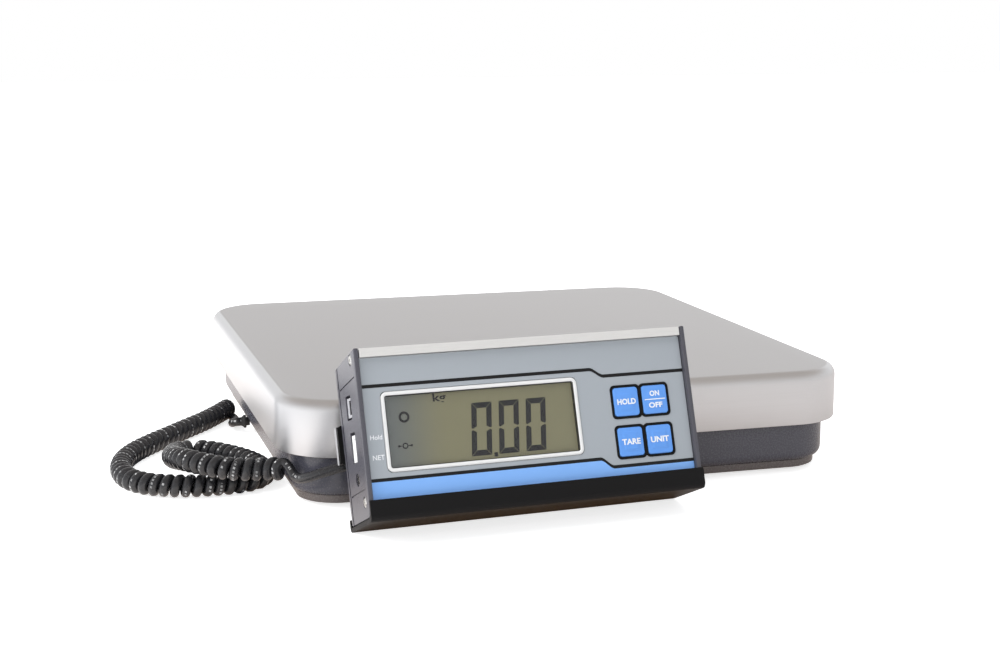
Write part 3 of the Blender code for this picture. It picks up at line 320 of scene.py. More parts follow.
def skin(bm, loops):
    """Faces between each two neighbouring loops of vertices."""
    for one, two in zip(loops, loops[1:]):
        for i in range(len(one)):
            j = (i + 1) % len(one)
            bm.faces.new((one[i], one[j], two[j], two[i]))


def loops_of(bm, rings):
    return [[bm.verts.new(p) for p in ring] for ring in rings]


def loft(bm, rings):
    """Skin through rings of equal length, capped at both ends."""
    loops = loops_of(bm, rings)
    bm.faces.new(loops[0])
    bm.faces.new(loops[-1])
    skin(bm, loops)


def piece(name, bm, mats, body="frame", nodes=(), sharp=35):
    """Turns a bmesh into a smooth shaded piece that rides on a body and may replace CAD nodes."""
    bmesh.ops.recalc_face_normals(bm, faces=bm.faces)
    mesh = bpy.data.meshes.new(name)
    bm.to_mesh(mesh)
    bm.free()
    for mat in mats if isinstance(mats, list) else [mats]:
        mesh.materials.append(mat)
    mesh.shade_smooth()
    mesh.set_sharp_from_angle(angle=math.radians(sharp))
    obj = bpy.data.objects.new(name, mesh)
    scene.collection.objects.link(obj)
    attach(obj, body)
    if nodes:
        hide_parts(*nodes)
    return obj


def edge_round(obj, width):
    mod = obj.modifiers.new("edges", "BEVEL")
    mod.width = width
    mod.segments = 2
    mod.limit_method = "ANGLE"
    mod.angle_limit = math.radians(35)
    mod.harden_normals = False


def carried(node, mat, width=0.0):
    """CAD node kept as it is, with a finish and, where a width is given, softened edges."""
    obj = NODES[node]
    obj.data.materials.clear()
    obj.data.materials.append(mat)
    obj.data.shade_smooth()
    weld = obj.modifiers.new("weld", "WELD")
    weld.merge_threshold = 0.000005
    if width:
        edge_round(obj, width)
    else:
        obj.modifiers.new("split", "EDGE_SPLIT").split_angle = math.radians(35)
    smooth = obj.modifiers.new("normals", "WEIGHTED_NORMAL")
    smooth.keep_sharp = True
    obj.data.set_sharp_from_angle(angle=math.radians(35))


def platform(p, q, z):
    return PLATFORM_AT + Vector((p, q, z))


UNIT_FOOT = Vector((-0.04428, -0.18538, 0.0))
FOOT_BEND = 0.0025
UNIT_TURN = math.radians(3.99)
UNIT_TILT = math.radians(18.935)
BACK_Y = 0.0333
BACK_LEAN = math.atan2(0.0029, 0.0787)
UNIT_ROT = Matrix.Rotation(UNIT_TURN, 4, "Z") @ Matrix.Rotation(-UNIT_TILT, 4, "X")
BEND_AT = PLATFORM_AT + UNIT_FOOT + Vector((0, 0, FOOT_BEND))
UNIT = Matrix.Translation(BEND_AT - UNIT_ROT @ Vector((0, 0.0348, -0.0007))) @ UNIT_ROT
LEAN = UNIT @ Matrix.Translation((0, BACK_Y, 0)) @ Matrix.Rotation(-BACK_LEAN, 4, "X")


def unit(x, z, y):
    """Point on the display unit: x to the right, z up its face, y behind the face, in millimetres."""
    return UNIT @ Vector((x * MM, y * MM, z * MM))


# The cord.
# One sheathed cable: a short lead from the base, a long coiled stretch and a lead to the display
# unit. It lies on the table, and its last turns rest on the first loop.

WIRE_D = 0.0052
COIL_D = 0.0126
COIL_R = (COIL_D - WIRE_D) / 2
TURN_STEP = 0.00565
TURN_POINTS = 14
COIL_ROUTE = [
    (-0.1585, 0.0735, 0.0066), (-0.1678, 0.0570, 0.0066), (-0.1786, 0.0400, 0.0066),
    (-0.1900, 0.0250, 0.0066), (-0.2010, 0.0100, 0.0066), (-0.2130, -0.0060, 0.0066),
    (-0.2240, -0.0230, 0.0066), (-0.2320, -0.0420, 0.0066), (-0.2350, -0.0620, 0.0066),
    (-0.2330, -0.0800, 0.0066), (-0.2260, -0.0930, 0.0066), (-0.2150, -0.1015, 0.0066),
    (-0.2020, -0.1060, 0.0066), (-0.1890, -0.1070, 0.0066), (-0.1770, -0.1060, 0.0066),
    (-0.1675, -0.1020, 0.0066), (-0.1615, -0.0940, 0.0066), (-0.1600, -0.0830, 0.0066),
    (-0.1620, -0.0710, 0.0066), (-0.1670, -0.0580, 0.0066), (-0.1740, -0.0460, 0.0066),
    (-0.1820, -0.0360, 0.0066), (-0.1900, -0.0305, 0.0066), (-0.1975, -0.0325, 0.0072),
    (-0.2025, -0.0400, 0.0084), (-0.2055, -0.0520, 0.0104), (-0.2070, -0.0660, 0.0130),
    (-0.2070, -0.0810, 0.0160), (-0.2050, -0.0950, 0.0187), (-0.2005, -0.1070, 0.0200),
    (-0.1940, -0.1160, 0.0200), (-0.1870, -0.1225, 0.0196), (-0.1790, -0.1266, 0.0193),
    (-0.1710, -0.1288, 0.0192), (-0.1645, -0.1310, 0.0196), (-0.1592, -0.1352, 0.0202),
    (-0.1575, -0.1378, 0.0205),
]
BASE_EXIT = (-0.1562, 0.0320, 0.0070)
BASE_LEAD = [
    (-0.1590, 0.0322, 0.0069), (-0.1606, 0.0345, 0.0062), (-0.1606, 0.0385, 0.0049),
    (-0.1587, 0.0450, 0.0037), (-0.1571, 0.0520, 0.0030), (-0.1567, 0.0590, 0.0029),
    (-0.1577, 0.0655, 0.0029),
]
UNIT_LEAD = [
    (-0.1560, -0.1395, 0.0236), (-0.1543, -0.1418, 0.0212), (-0.1531, -0.1443, 0.0190),
    (-0.1518, -0.1475, 0.0181), (-0.1500, -0.1515, 0.0187), (-0.1467, -0.1565, 0.0206),
    (-0.1423, -0.1602, 0.0229), (-0.1374, -0.1625, 0.0248), (-0.1328, -0.1638, 0.0262),
    (-0.1270, -0.1643, 0.0269), (-0.1205, -0.1645, 0.0262),
]


def smooth_path(points, steps):
    """Curve through all the points, with steps pieces between each two."""
    pts = [Vector(p) for p in points]
    pts = [2 * pts[0] - pts[1]] + pts + [2 * pts[-1] - pts[-2]]
    out = []
    for i in range(1, len(pts) - 2):
        p0, p1, p2, p3 = pts[i - 1:i + 3]
        for k in range(steps):
            t = k / steps
            a = 2 * p1 + (p2 - p0) * t + (2 * p0 - 5 * p1 + 4 * p2 - p3) * t * t
            out.append((a + (3 * p1 - p0 - 3 * p2 + p3) * t ** 3) / 2)
    out.append(pts[-2])
    return out


def coil_points():
    """Helix wound on the route. Turns touch on the inner side of a bend and fan out outside it."""
    axis = smooth_path(COIL_ROUTE, 24)
    up = Vector((0, 0, 1))
    rates = []
    for i in range(len(axis)):
        a = axis[max(i - 12, 0)]
        b = axis[i]
        c = axis[min(i + 12, len(axis) - 1)]
        area = (b - a).cross(c - b).length
        bend = 2 * area / max((b - a).length * (c - b).length * (c - a).length, 1e-12)
        spare = max(1 - COIL_R * bend, 0.3)
        rates.append(1 / max(TURN_STEP, (WIRE_D + 0.0001) / spare))
    phase = [0.0]
    for i in range(1, len(axis)):
        phase.append(phase[-1] + (axis[i] - axis[i - 1]).length * (rates[i] + rates[i - 1]) / 2)
    turns = round(phase[-1] - 0.5) + 0.5
    gain = turns / phase[-1]
    out = []
    i = 0
    for k in range(int(turns * TURN_POINTS) + 1):
        want = k / TURN_POINTS
        while i < len(axis) - 2 and phase[i + 1] * gain < want:
            i += 1
        span = max((phase[i + 1] - phase[i]) * gain, 1e-9)
        t = min(max((want - phase[i] * gain) / span, 0.0), 1.0)
        centre = axis[i].lerp(axis[i + 1], t)
        along = (axis[min(i + 2, len(axis) - 1)] - axis[max(i - 1, 0)]).normalized()
        top = (up - up.dot(along) * along).normalized()
        side = along.cross(top)
        angle = 2 * math.pi * want
        out.append((centre - COIL_R * (math.cos(angle) * top - math.sin(angle) * side), centre))
    return out


def cord_route():
    """Centre line of the whole cord and, for each point, the way its printed side faces."""
    coil = coil_points()
    first = [Vector(BASE_EXIT)] + [Vector(p) for p in BASE_LEAD]
    last = [Vector(p) for p in UNIT_LEAD]
    gland = PLATFORM_AT * -1 + LEAN @ Vector((-0.066, 0.0066, 0.025))
    out = (LEAN.to_3x3() @ Vector((0, 1, 0))).normalized()
    last += [gland + 0.0052 * out + Vector((-0.0030, -0.0003, 0.0004)), gland + 0.0024 * out, gland]
    head = smooth_path(first + [coil[0][0]], 6)
    tail = smooth_path([coil[-1][0]] + last, 6)
    points = head[:-1] + [p for p, c in coil] + tail[1:]
    faces = [Vector((-0.3, -1, 0.5))] * (len(head) - 1) + [p - c for p, c in coil]
    faces += [Vector((-0.3, -1, 0.5))] * (len(tail) - 1)
    return [PLATFORM_AT + p for p in points], faces


def cord_material():
    """Glossy black sheath with a row of small pale printed ticks, in groups, along one side."""
    mat = finish("cord_sheath", (0.017, 0.017, 0.019), 0.26, spread=0.3, rough_spread=0.2,
                 scale=(700, 700, 700), height=0.00001, smudge=0.1, gloss=0.45)
    tree = mat.node_tree
    shader = tree.nodes["Principled BSDF"]
    grain = tree.nodes["grain"]
    along = tree.nodes.new("ShaderNodeAttribute")
    along.attribute_name = "along"
    round_ = tree.nodes.new("ShaderNodeAttribute")
    round_.attribute_name = "round"
    s = along.outputs["Fac"]
    cell = math_node(tree, "FLOOR", math_node(tree, "MULTIPLY", s, 800.0))
    white = tree.nodes.new("ShaderNodeTexWhiteNoise")
    white.noise_dimensions = "1D"
    link(tree, cell, white.inputs["W"])
    inked = math_node(tree, "GREATER_THAN", white.outputs["Value"], 0.30)
    part = math_node(tree, "FRACT", math_node(tree, "MULTIPLY", s, 800.0))
    inked = math_node(tree, "MULTIPLY", inked, math_node(tree, "LESS_THAN", part, 0.55))
    group = math_node(tree, "FRACT", math_node(tree, "MULTIPLY", s, 17.0))
    inked = math_node(tree, "MULTIPLY", inked, math_node(tree, "LESS_THAN", group, 0.45))
    off = math_node(tree, "ABSOLUTE", math_node(tree, "SUBTRACT", round_.outputs["Fac"], 0.5))
    inked = math_node(tree, "MULTIPLY", inked, math_node(tree, "LESS_THAN", off, 0.036))
    inked = math_node(tree, "MULTIPLY", inked, math_node(tree, "MULTIPLY", white.outputs["Value"], 0.75))
    colour = mix_colour(tree, inked, grain.outputs["Colour"], (0.6, 0.6, 0.6))
    link(tree, colour, shader.inputs["Base Color"])
    return mat


def make_cord():
    points, faces = cord_route()
    sides = 14
    bm = bmesh.new()
    along = bm.verts.layers.float.new("along")
    around = bm.verts.layers.float.new("round")
    run = 0.0
    loops = []
    for i, p in enumerate(points):
        if i:
            run += (p - points[i - 1]).length
        axis = (points[min(i + 1, len(points) - 1)] - points[max(i - 1, 0)]).normalized()
        outward = (faces[i] - faces[i].dot(axis) * axis).normalized()
        side = axis.cross(outward)
        loop = []
        for k in range(sides):
            a = 2 * math.pi * (k / sides - 0.5)
            vert = bm.verts.new(p + WIRE_D / 2 * (math.cos(a) * outward + math.sin(a) * side))
            vert[along] = run
            vert[around] = k / sides
            loop.append(vert)
        loops.append(loop)
    bm.faces.new(loops[0])
    bm.faces.new(loops[-1])
    skin(bm, loops)
    cord = piece("cord", bm, cord_material(), "frame", ("lead_base", "coil", "lead_indicator"), 60)


make_cord()


# The pan.
# Stainless sheet pressed into a shallow tray with welded corners, brushed along its length.
# It is loose and rests on four rubber pads.

PAN_HALF = 0.160
PAN_TOP = 0.0595
PAN_SKIRT = 0.0295
PAN_SHEET = 0.0015
PAN_CORNER = 0.0344
PAN_EDGE = 0.006


def square_ring(inset, half, corner, z):
    side = 2 * (half - inset)
    return [platform(x, y, z) for x, y in rounded(side, side, max(corner - inset, 0.0005), 20)]


def pan_material():
    """Brushed stainless steel, brushed along X on the top and level round the duller sides."""
    mat = finish("brushed_steel", (0.630, 0.632, 0.645), 0.34, 1.0, spread=0.10, rough_spread=0.12,
                 scale=(10, 1500, 1500), height=0.000002, smudge=0.02)
    tree = mat.node_tree
    shader = tree.nodes["Principled BSDF"]
    normal = tree.nodes.new("ShaderNodeNewGeometry").outputs["Normal"]
    split = tree.nodes.new("ShaderNodeSeparateXYZ")
    link(tree, normal, split.inputs[0])
    flat = ramp(tree, math_node(tree, "ABSOLUTE", split.outputs["Z"]), 0.97, 0.995)
    level = tree.nodes.new("ShaderNodeVectorMath")
    level.operation = "CROSS_PRODUCT"
    link(tree, normal, level.inputs[0])
    level.inputs[1].default_value = (0.0, 0.0, 1.0)
    link(tree, mix_vector(tree, flat, level.outputs[0], (1.0, 0.0, 0.0)), shader.inputs["Tangent"])
    side = ramp(tree, math_node(tree, "ABSOLUTE", split.outputs["X"]), 0.55, 0.85)
    scale = mix_vector(tree, side, (10.0, 1500.0, 1500.0), (1500.0, 10.0, 1500.0))
    link(tree, scale, tree.nodes["grain"].inputs["Scale"])
    top = ramp(tree, math_node(tree, "ABSOLUTE", split.outputs["Z"]), 0.30, 0.95, 0.44, 0.34)
    link(tree, top, tree.nodes["grain"].inputs["Roughness"])
    metal = ramp(tree, math_node(tree, "ABSOLUTE", split.outputs["Z"]), 0.05, 0.60, 0.85, 1.0)
    link(tree, metal, shader.inputs["Metallic"])
    shader.inputs["Anisotropic"].default_value = 0.75
    shader.inputs["Anisotropic Rotation"].default_value = 0.25
    return mat


def make_pan():
    rings = []
    for i in range(11):
        a = math.pi / 2 * i / 10
        inset = PAN_EDGE * (1 - math.sin(a))
        rings.append(square_ring(inset, PAN_HALF, PAN_CORNER, PAN_TOP - PAN_EDGE * (1 - math.cos(a))))
    low = PAN_TOP - PAN_SKIRT
    rings.append(square_ring(0, PAN_HALF, PAN_CORNER, low + 0.0003))
    rings.append(square_ring(0.0003, PAN_HALF, PAN_CORNER, low))
    rings.append(square_ring(PAN_SHEET - 0.0003, PAN_HALF, PAN_CORNER, low))
    rings.append(square_ring(PAN_SHEET, PAN_HALF, PAN_CORNER, low + 0.0003))
    inner = PAN_EDGE - PAN_SHEET
    for i in range(7):
        a = math.pi / 2 * (1 - i / 6)
        z = PAN_TOP - PAN_EDGE + inner * math.cos(a)
        rings.append(square_ring(PAN_EDGE - inner * math.sin(a), PAN_HALF, PAN_CORNER, z))
    bm = bmesh.new()
    loft(bm, rings)
    pan = piece("pan_sheet", bm, pan_material(), "pan", ("pan",), 50)


make_pan()


# The base.
# A dark grey moulding rounded in below, on a narrower rim; ribs and foot bosses inside its floor.

BASE_HALF = 0.1529
BASE_CORNER = 0.0265
BASE_BOTTOM = 0.0029
BASE_RIM_Z = 0.0074
BASE_RIM_IN = 0.0038
BASE_ROUND = 0.0052
BASE_TOP = 0.044
BASE_WALL = 0.003
FLOOR_Z = 0.008
FOOT_XY = 0.120
RIB_T = 0.0025
RIB_BESIDE, RIB_BESIDE_TOP = 0.030, 0.020
RIB_BEYOND, RIB_BEYOND_TOP = 0.087, 0.0185
BOSS = ((0.020, FLOOR_Z - 0.001), (0.0184, FLOOR_Z + 0.001), (0.018, 0.0270), (0.017, 0.028))
BOSS_RIB_AT, BOSS_RIB_L, BOSS_RIB_T, BOSS_RIB_TOP = 0.014, 0.012, 0.002, 0.022
CORNERS = ((-1, -1), (1, -1), (1, 1), (-1, 1))


def base_material():
    """Semi-gloss moulding; its rim near the table is painted warmer and lighter, a painted reflection of a
    warm table.
    """
    mat = finish("base_moulding", (0.066, 0.066, 0.083), 0.27, spread=0.05, rough_spread=0.10,
                 scale=(1100, 1100, 1100), height=0.000003, smudge=0.05)
    tree = mat.node_tree
    split = tree.nodes.new("ShaderNodeSeparateXYZ")
    link(tree, tree.nodes.new("ShaderNodeTexCoord").outputs["Object"], split.inputs[0])
    # Painted reflection: the rim's warm, lighter colour stands for a warm table mirrored in it.
    low = ramp(tree, split.outputs["Z"], 0.0085, 0.0070)
    colour = mix_colour(tree, low, tree.nodes["grain"].outputs["Colour"], (0.130, 0.112, 0.108))
    link(tree, colour, tree.nodes["Principled BSDF"].inputs["Base Color"])
    return mat


def make_base():
    bm = bmesh.new()
    rim = BASE_RIM_IN + 0.0002
    chain = [(rim + 0.003, BASE_BOTTOM), (rim + 0.0008, BASE_BOTTOM), (rim + 0.0002, BASE_BOTTOM + 0.0003),
             (rim, BASE_BOTTOM + 0.0010), (rim, BASE_RIM_Z - 0.0002), (rim + 0.0005, BASE_RIM_Z)]
    for i in range(9):
        a = math.pi / 2 * i / 8
        chain.append((BASE_RIM_IN * (1 - math.sin(a)), BASE_RIM_Z + 0.0002 + BASE_ROUND * (1 - math.cos(a))))
    chain += [(0.0, BASE_TOP - 0.0006), (0.0006, BASE_TOP),
              (BASE_WALL - 0.0004, BASE_TOP), (BASE_WALL, BASE_TOP - 0.0004), (BASE_WALL, FLOOR_Z + 0.009),
              (BASE_WALL + 0.002, FLOOR_Z + 0.002), (BASE_WALL + 0.004, FLOOR_Z)]
    loft(bm, [square_ring(inset, BASE_HALF, BASE_CORNER, z) for inset, z in chain])
    across = 2 * (BASE_HALF - BASE_WALL)
    for sign in (-1, 1):
        for w, d, at, high in ((across, RIB_T, (0, sign * RIB_BESIDE), RIB_BESIDE_TOP),
                               (RIB_T, across, (sign * RIB_BEYOND, 0), RIB_BEYOND_TOP)):
            rings = [[platform(x, y, z) for x, y in rounded(w - trim, d - trim, 0.0002, 1, at)]
                     for z, trim in ((FLOOR_Z - 0.001, 0), (high - 0.0004, 0.0002), (high, 0.0008))]
            loft(bm, rings)
    for sx, sy in CORNERS:
        at = (sx * FOOT_XY, sy * FOOT_XY)
        loft(bm, [[platform(x, y, z) for x, y in circle(d, 32, at)] for d, z in BOSS])
        for k in range(4):
            a = math.pi / 2 * k
            mid = (at[0] + BOSS_RIB_AT * math.cos(a), at[1] + BOSS_RIB_AT * math.sin(a))
            w, d = (BOSS_RIB_L, BOSS_RIB_T) if k % 2 == 0 else (BOSS_RIB_T, BOSS_RIB_L)
            loft(bm, [[platform(x, y, z) for x, y in rounded(w, d, 0.0002, 1, mid)]
                      for z in (FLOOR_Z - 0.001, BOSS_RIB_TOP)])
    nodes = ("base_floor", "base_wall", "base_ribs")
    base = piece("base_moulding", bm, base_material(), "frame", nodes, 32)


make_base()


# What is under the pan: pads, cast carrier, load cell, spacers and bolts.
# Cast and milled aluminium with zinc plated hardware; hidden until the pan is lifted.

RUBBER = finish("black_rubber", (0.018, 0.018, 0.019), 0.62, spread=0.25, rough_spread=0.3,
                scale=(900, 900, 900), height=0.00003, smudge=0.08)
CAST = finish("cast_aluminium", (0.50, 0.51, 0.52), 0.46, 1.0, spread=0.25, rough_spread=0.3,
              scale=(600, 600, 600), height=0.00006, smudge=0.08)
MILLED = finish("milled_aluminium", (0.62, 0.63, 0.65), 0.30, 1.0, spread=0.16, rough_spread=0.2,
                scale=(40, 1800, 1800), height=0.000008, smudge=0.05)
ZINC = finish("zinc_plate", (0.60, 0.60, 0.58), 0.28, 1.0, spread=0.12, rough_spread=0.2,
              scale=(900, 900, 900), height=0.000006, smudge=0.08)


def stack(bm, at, marks, steps=36):
    """Turned shape on a vertical axis of the platform, from (radius, height) marks."""
    loft(bm, [[platform(x, y, z) for x, y in circle(2 * r, steps, at)] for r, z in marks])


PAD_XY, PAD_Z, PAD_T, PAD_R = 0.118, 0.0537, 0.004, 0.009


def make_pan_pads():
    shape = ((0.97, 0.0), (1.0, 0.1), (1.0, 0.6), (0.96, 0.82), (0.86, 1.0), (0.5, 1.0), (0.42, 0.8))
    for i, (sx, sy) in enumerate(CORNERS, 1):
        bm = bmesh.new()
        stack(bm, (sx * PAD_XY, sy * PAD_XY), [(PAD_R * r, PAD_Z + PAD_T * z) for r, z in shape])
        pad = piece(f"rubber_button_{i}", bm, RUBBER, "frame", (f"pan_pad_{i}",), 50)


make_pan_pads()
carried("load_frame", CAST, 0.0008)
carried("load_cell", MILLED, 0.0003)
for part in ("cell_spacer_lower", "cell_spacer_upper"):
    carried(part, ZINC, 0.0003)
for number in range(1, 5):
    carried(f"cell_bolt_{number}", ZINC)


# The feet.
# A ribbed rubber disc on a threaded stud that screws into a boss of the base.

DISC_R = 0.015
DISC = ((0.45, 0.0004), (0.5, 0.0), (0.62, 0.0), (0.66, 0.0004), (0.78, 0.0004), (0.82, 0.0), (0.94, 0.0),
        (1.0, 0.0005), (1.0, 0.0024), (0.97, 0.0030), (0.9, 0.0032))
DISC_HUB = [(0.0052, 0.0032), (0.0050, 0.0030), (0.0050, 0.0016)]
STUD_LOW, STUD_L, STUD_R = 0.00174, 0.020, 0.0040
THREAD_STEP, THREAD_DEEP, THREAD_ROWS = 0.00125, 0.0006, 6


def make_feet():
    for i, (sx, sy) in enumerate(CORNERS, 1):
        at = (sx * FOOT_XY, sy * FOOT_XY)
        bm = bmesh.new()
        stack(bm, at, [(DISC_R * r, z) for r, z in DISC] + DISC_HUB, 48)
        pad = piece(f"foot_disc_{i}", bm, RUBBER, f"foot_{i}", (f"foot_pad_{i}",), 40)
        bm = bmesh.new()
        steps = 24
        count = int(STUD_L / THREAD_STEP * THREAD_ROWS)
        rings = []
        for k in range(count + 1):
            z = STUD_LOW + STUD_L * k / count
            ring = []
            for s in range(steps):
                a = 2 * math.pi * s / steps
                lift = abs(((z / THREAD_STEP - s / steps) % 1.0) * 2 - 1)
                fade = min(1.0, (STUD_LOW + STUD_L - z) / 0.001 + 0.6)
                radius = (STUD_R - THREAD_DEEP * lift) * fade
                ring.append(platform(at[0] + radius * math.cos(a), at[1] + radius * math.sin(a), z))
            rings.append(ring)
        loft(bm, rings)
        stud = piece(f"foot_thread_{i}", bm, ZINC, f"stud_{i}", (f"foot_stud_{i}",), 60)


make_feet()


# The case of the display unit.
# An anodised extrusion with fine drawing lines, grey moulded end plates and a black back cover.

EXTRUSION = finish("anodised_extrusion", (0.72, 0.715, 0.70), 0.40, 0.5, spread=0.16, rough_spread=0.16,
                   scale=(14, 1500, 1500), height=0.000006, smudge=0.03)
CAP_GREY = finish("cap_grey", (0.070, 0.069, 0.084), 0.30, spread=0.12, rough_spread=0.2,
                  scale=(1400, 1400, 1400), height=0.00001, smudge=0.05)
BLACK_MOULD = finish("black_moulding", (0.010, 0.010, 0.011), 0.42, spread=0.25, rough_spread=0.25,
                     scale=(1400, 1400, 1400), height=0.00002, smudge=0.06, gloss=0.3)
BLACK_PAINT = finish("black_paint", (0.0060, 0.0058, 0.0062), 0.46, spread=0.15, rough_spread=0.2,
                     scale=(700, 700, 700), height=0.00001, smudge=0.05, gloss=0.14)
SATIN_BLACK = finish("satin_black", (0.0040, 0.0040, 0.0045), 0.42, spread=0.2, rough_spread=0.2,
                     scale=(1400, 1400, 1400), height=0.00001, smudge=0.05, gloss=0.15)
SOCKET_GREY = finish("socket_grey", (0.36, 0.36, 0.38), 0.35, spread=0.08, rough_spread=0.15,
                     scale=(1400, 1400, 1400), height=0.00001, smudge=0.03)
WHITE_MOULD = finish("white_moulding", (0.78, 0.78, 0.77), 0.40, spread=0.04, rough_spread=0.1,
                     scale=(1400, 1400, 1400), height=0.00001, smudge=0.02)
BOARD = finish("board_lacquer", (0.02, 0.13, 0.05), 0.25, spread=0.25, rough_spread=0.2,
               scale=(300, 300, 300), height=0.00002, smudge=0.1)
PACK = finish("pack_sleeve", (0.04, 0.10, 0.30), 0.35, spread=0.1, rough_spread=0.2,
              scale=(200, 200, 200), height=0.00003, smudge=0.08)

END_FACE = -0.0879
BARE_AND_HIGHLIGHT_FROM = 0.0050
UNIT_X = UNIT_ROT.col[0].to_3d()
UNIT_Y = UNIT_ROT.col[1].to_3d()


def unit_place(tree, axis, origin):
    """Distance of the shaded point from the origin along one axis of the display unit, in metres."""
    dot = tree.nodes.new("ShaderNodeVectorMath")
    dot.operation = "DOT_PRODUCT"
    link(tree, tree.nodes.new("ShaderNodeTexCoord").outputs["Object"], dot.inputs[0])
    dot.inputs[1].default_value = axis
    return math_node(tree, "SUBTRACT", dot.outputs["Value"], axis.dot(origin))


def well_material(name, base, depth):
    """A pale block whose opening is painted dark, as shade in the recess, from a little way inside its
    front.
    """
    mat = base.copy()
    mat.name = name
    tree = mat.node_tree
    # Painted shade: from this depth in, the opening is coloured near black.
    inside = unit_place(tree, UNIT_X, UNIT @ Vector((END_FACE + depth, 0, 0)))
    inside = ramp(tree, inside, 0.0, 0.0002)
    shader = tree.nodes["Principled BSDF"]
    colour = shader.inputs["Base Color"].links[0].from_socket
    link(tree, mix_colour(tree, inside, colour, (0.006, 0.006, 0.006)), shader.inputs["Base Color"])
    return mat


def bracket_material():
    """Black paint, with light grey on the rear end faces of the folded sheet: uncoated cut metal, lightened
    further as a painted highlight.
    """
    mat = BLACK_PAINT.copy()
    mat.name = "bracket_paint"
    tree = mat.node_tree
    facing = tree.nodes.new("ShaderNodeVectorMath")
    facing.operation = "DOT_PRODUCT"
    link(tree, tree.nodes.new("ShaderNodeNewGeometry").outputs["Normal"], facing.inputs[0])
    facing.inputs[1].default_value = UNIT_X
    # Light grey on the end faces: partly uncoated metal, partly a painted highlight where the light catches
    # them.
    bare_and_highlight = ramp(tree, math_node(tree, "ABSOLUTE", facing.outputs["Value"]), 0.90, 0.97)
    behind = unit_place(tree, UNIT_Y, UNIT @ Vector((0, BACK_Y + BARE_AND_HIGHLIGHT_FROM, 0)))
    bare_and_highlight = math_node(tree, "MULTIPLY", bare_and_highlight, ramp(tree, behind, -0.0002, 0.0002))
    shader = tree.nodes["Principled BSDF"]
    colour = shader.inputs["Base Color"].links[0].from_socket
    link(tree, mix_colour(tree, bare_and_highlight, colour, (0.32, 0.32, 0.33)), shader.inputs["Base Color"])
    return mat


carried("indicator_housing", EXTRUSION, 0.00025)
carried("left_cap", CAP_GREY)
carried("right_cap", CAP_GREY)
carried("rear_cover", BLACK_MOULD, 0.0002)
carried("battery_door", BLACK_MOULD, 0.0002)
carried("battery_pack", PACK, 0.0008)
carried("circuit_board", BOARD, 0.0002)
carried("bracket", bracket_material(), 0.0004)
carried("base_gland", RUBBER, 0.0001)
carried("indicator_gland", RUBBER, 0.0001)
for number in range(1, 5):
    carried(f"cap_screw_{number}", ZINC, 0.0001)
carried("usb_socket", well_material("usb_block", SOCKET_GREY, 0.0003))
carried("data_socket", WHITE_MOULD, 0.0001)
carried("power_jack", well_material("jack_block", ZINC, 0.0005))


# The front film.
# A matt printed film stuck to the case: grey field, two stepped black lines and a blue band.

FACE_HALF = 85.6
FILM_LOW, FILM_HIGH = 6.0, 79.0
LINE_UP = (65.1, 61.25, 33.6, 41.3)
LINE_LOW = (19.5, 14.9, 34.2, 41.6)
LINE_HALF = 0.85
LCD_X, LCD_Z, LCD_W, LCD_H = -25.4, 42.3, 102.6, 39.0
KEY_X, KEY_Z = 59.93, 37.08
KEY_PITCH_X, KEY_PITCH_Z = 15.95, 20.45
KEY_W, KEY_H = 13.75, 14.6

FILM = finish("film_grey", (0.355, 0.385, 0.415), 0.38, spread=0.06, rough_spread=0.15,
              scale=(2500, 2500, 2500), height=0.000008, smudge=0.03)
INK_BLACK = finish("ink_black", (0.006, 0.006, 0.0065), 0.42, spread=0.2, scale=(2500, 2500, 2500),
                   height=0.000005, gloss=0.25)
INK_BLUE = finish("ink_blue", (0.215, 0.440, 0.88), 0.38, spread=0.06, scale=(2500, 2500, 2500),
                  height=0.000005)
INK_WHITE = finish("ink_white", (0.85, 0.86, 0.87), 0.40, spread=0.04, scale=(2500, 2500, 2500),
                   height=0.000005)


def step_line(line, x):
    left, right, x0, x1 = line
    t = min(max((x - x0) / (x1 - x0), 0.0), 1.0)
    return left + (right - left) * (3 * t * t - 2 * t ** 3)


def band(bm, marks, front):
    """Thin strip of ink between two heights at each x, from (x, low, high) marks."""
    for (a, low_a, high_a), (b, low_b, high_b) in zip(marks, marks[1:]):
        verts = [bm.verts.new(unit(x, z, front)) for x, z in
                 ((a, low_a), (b, low_b), (b, high_b), (a, high_a))]
        bm.faces.new(verts)


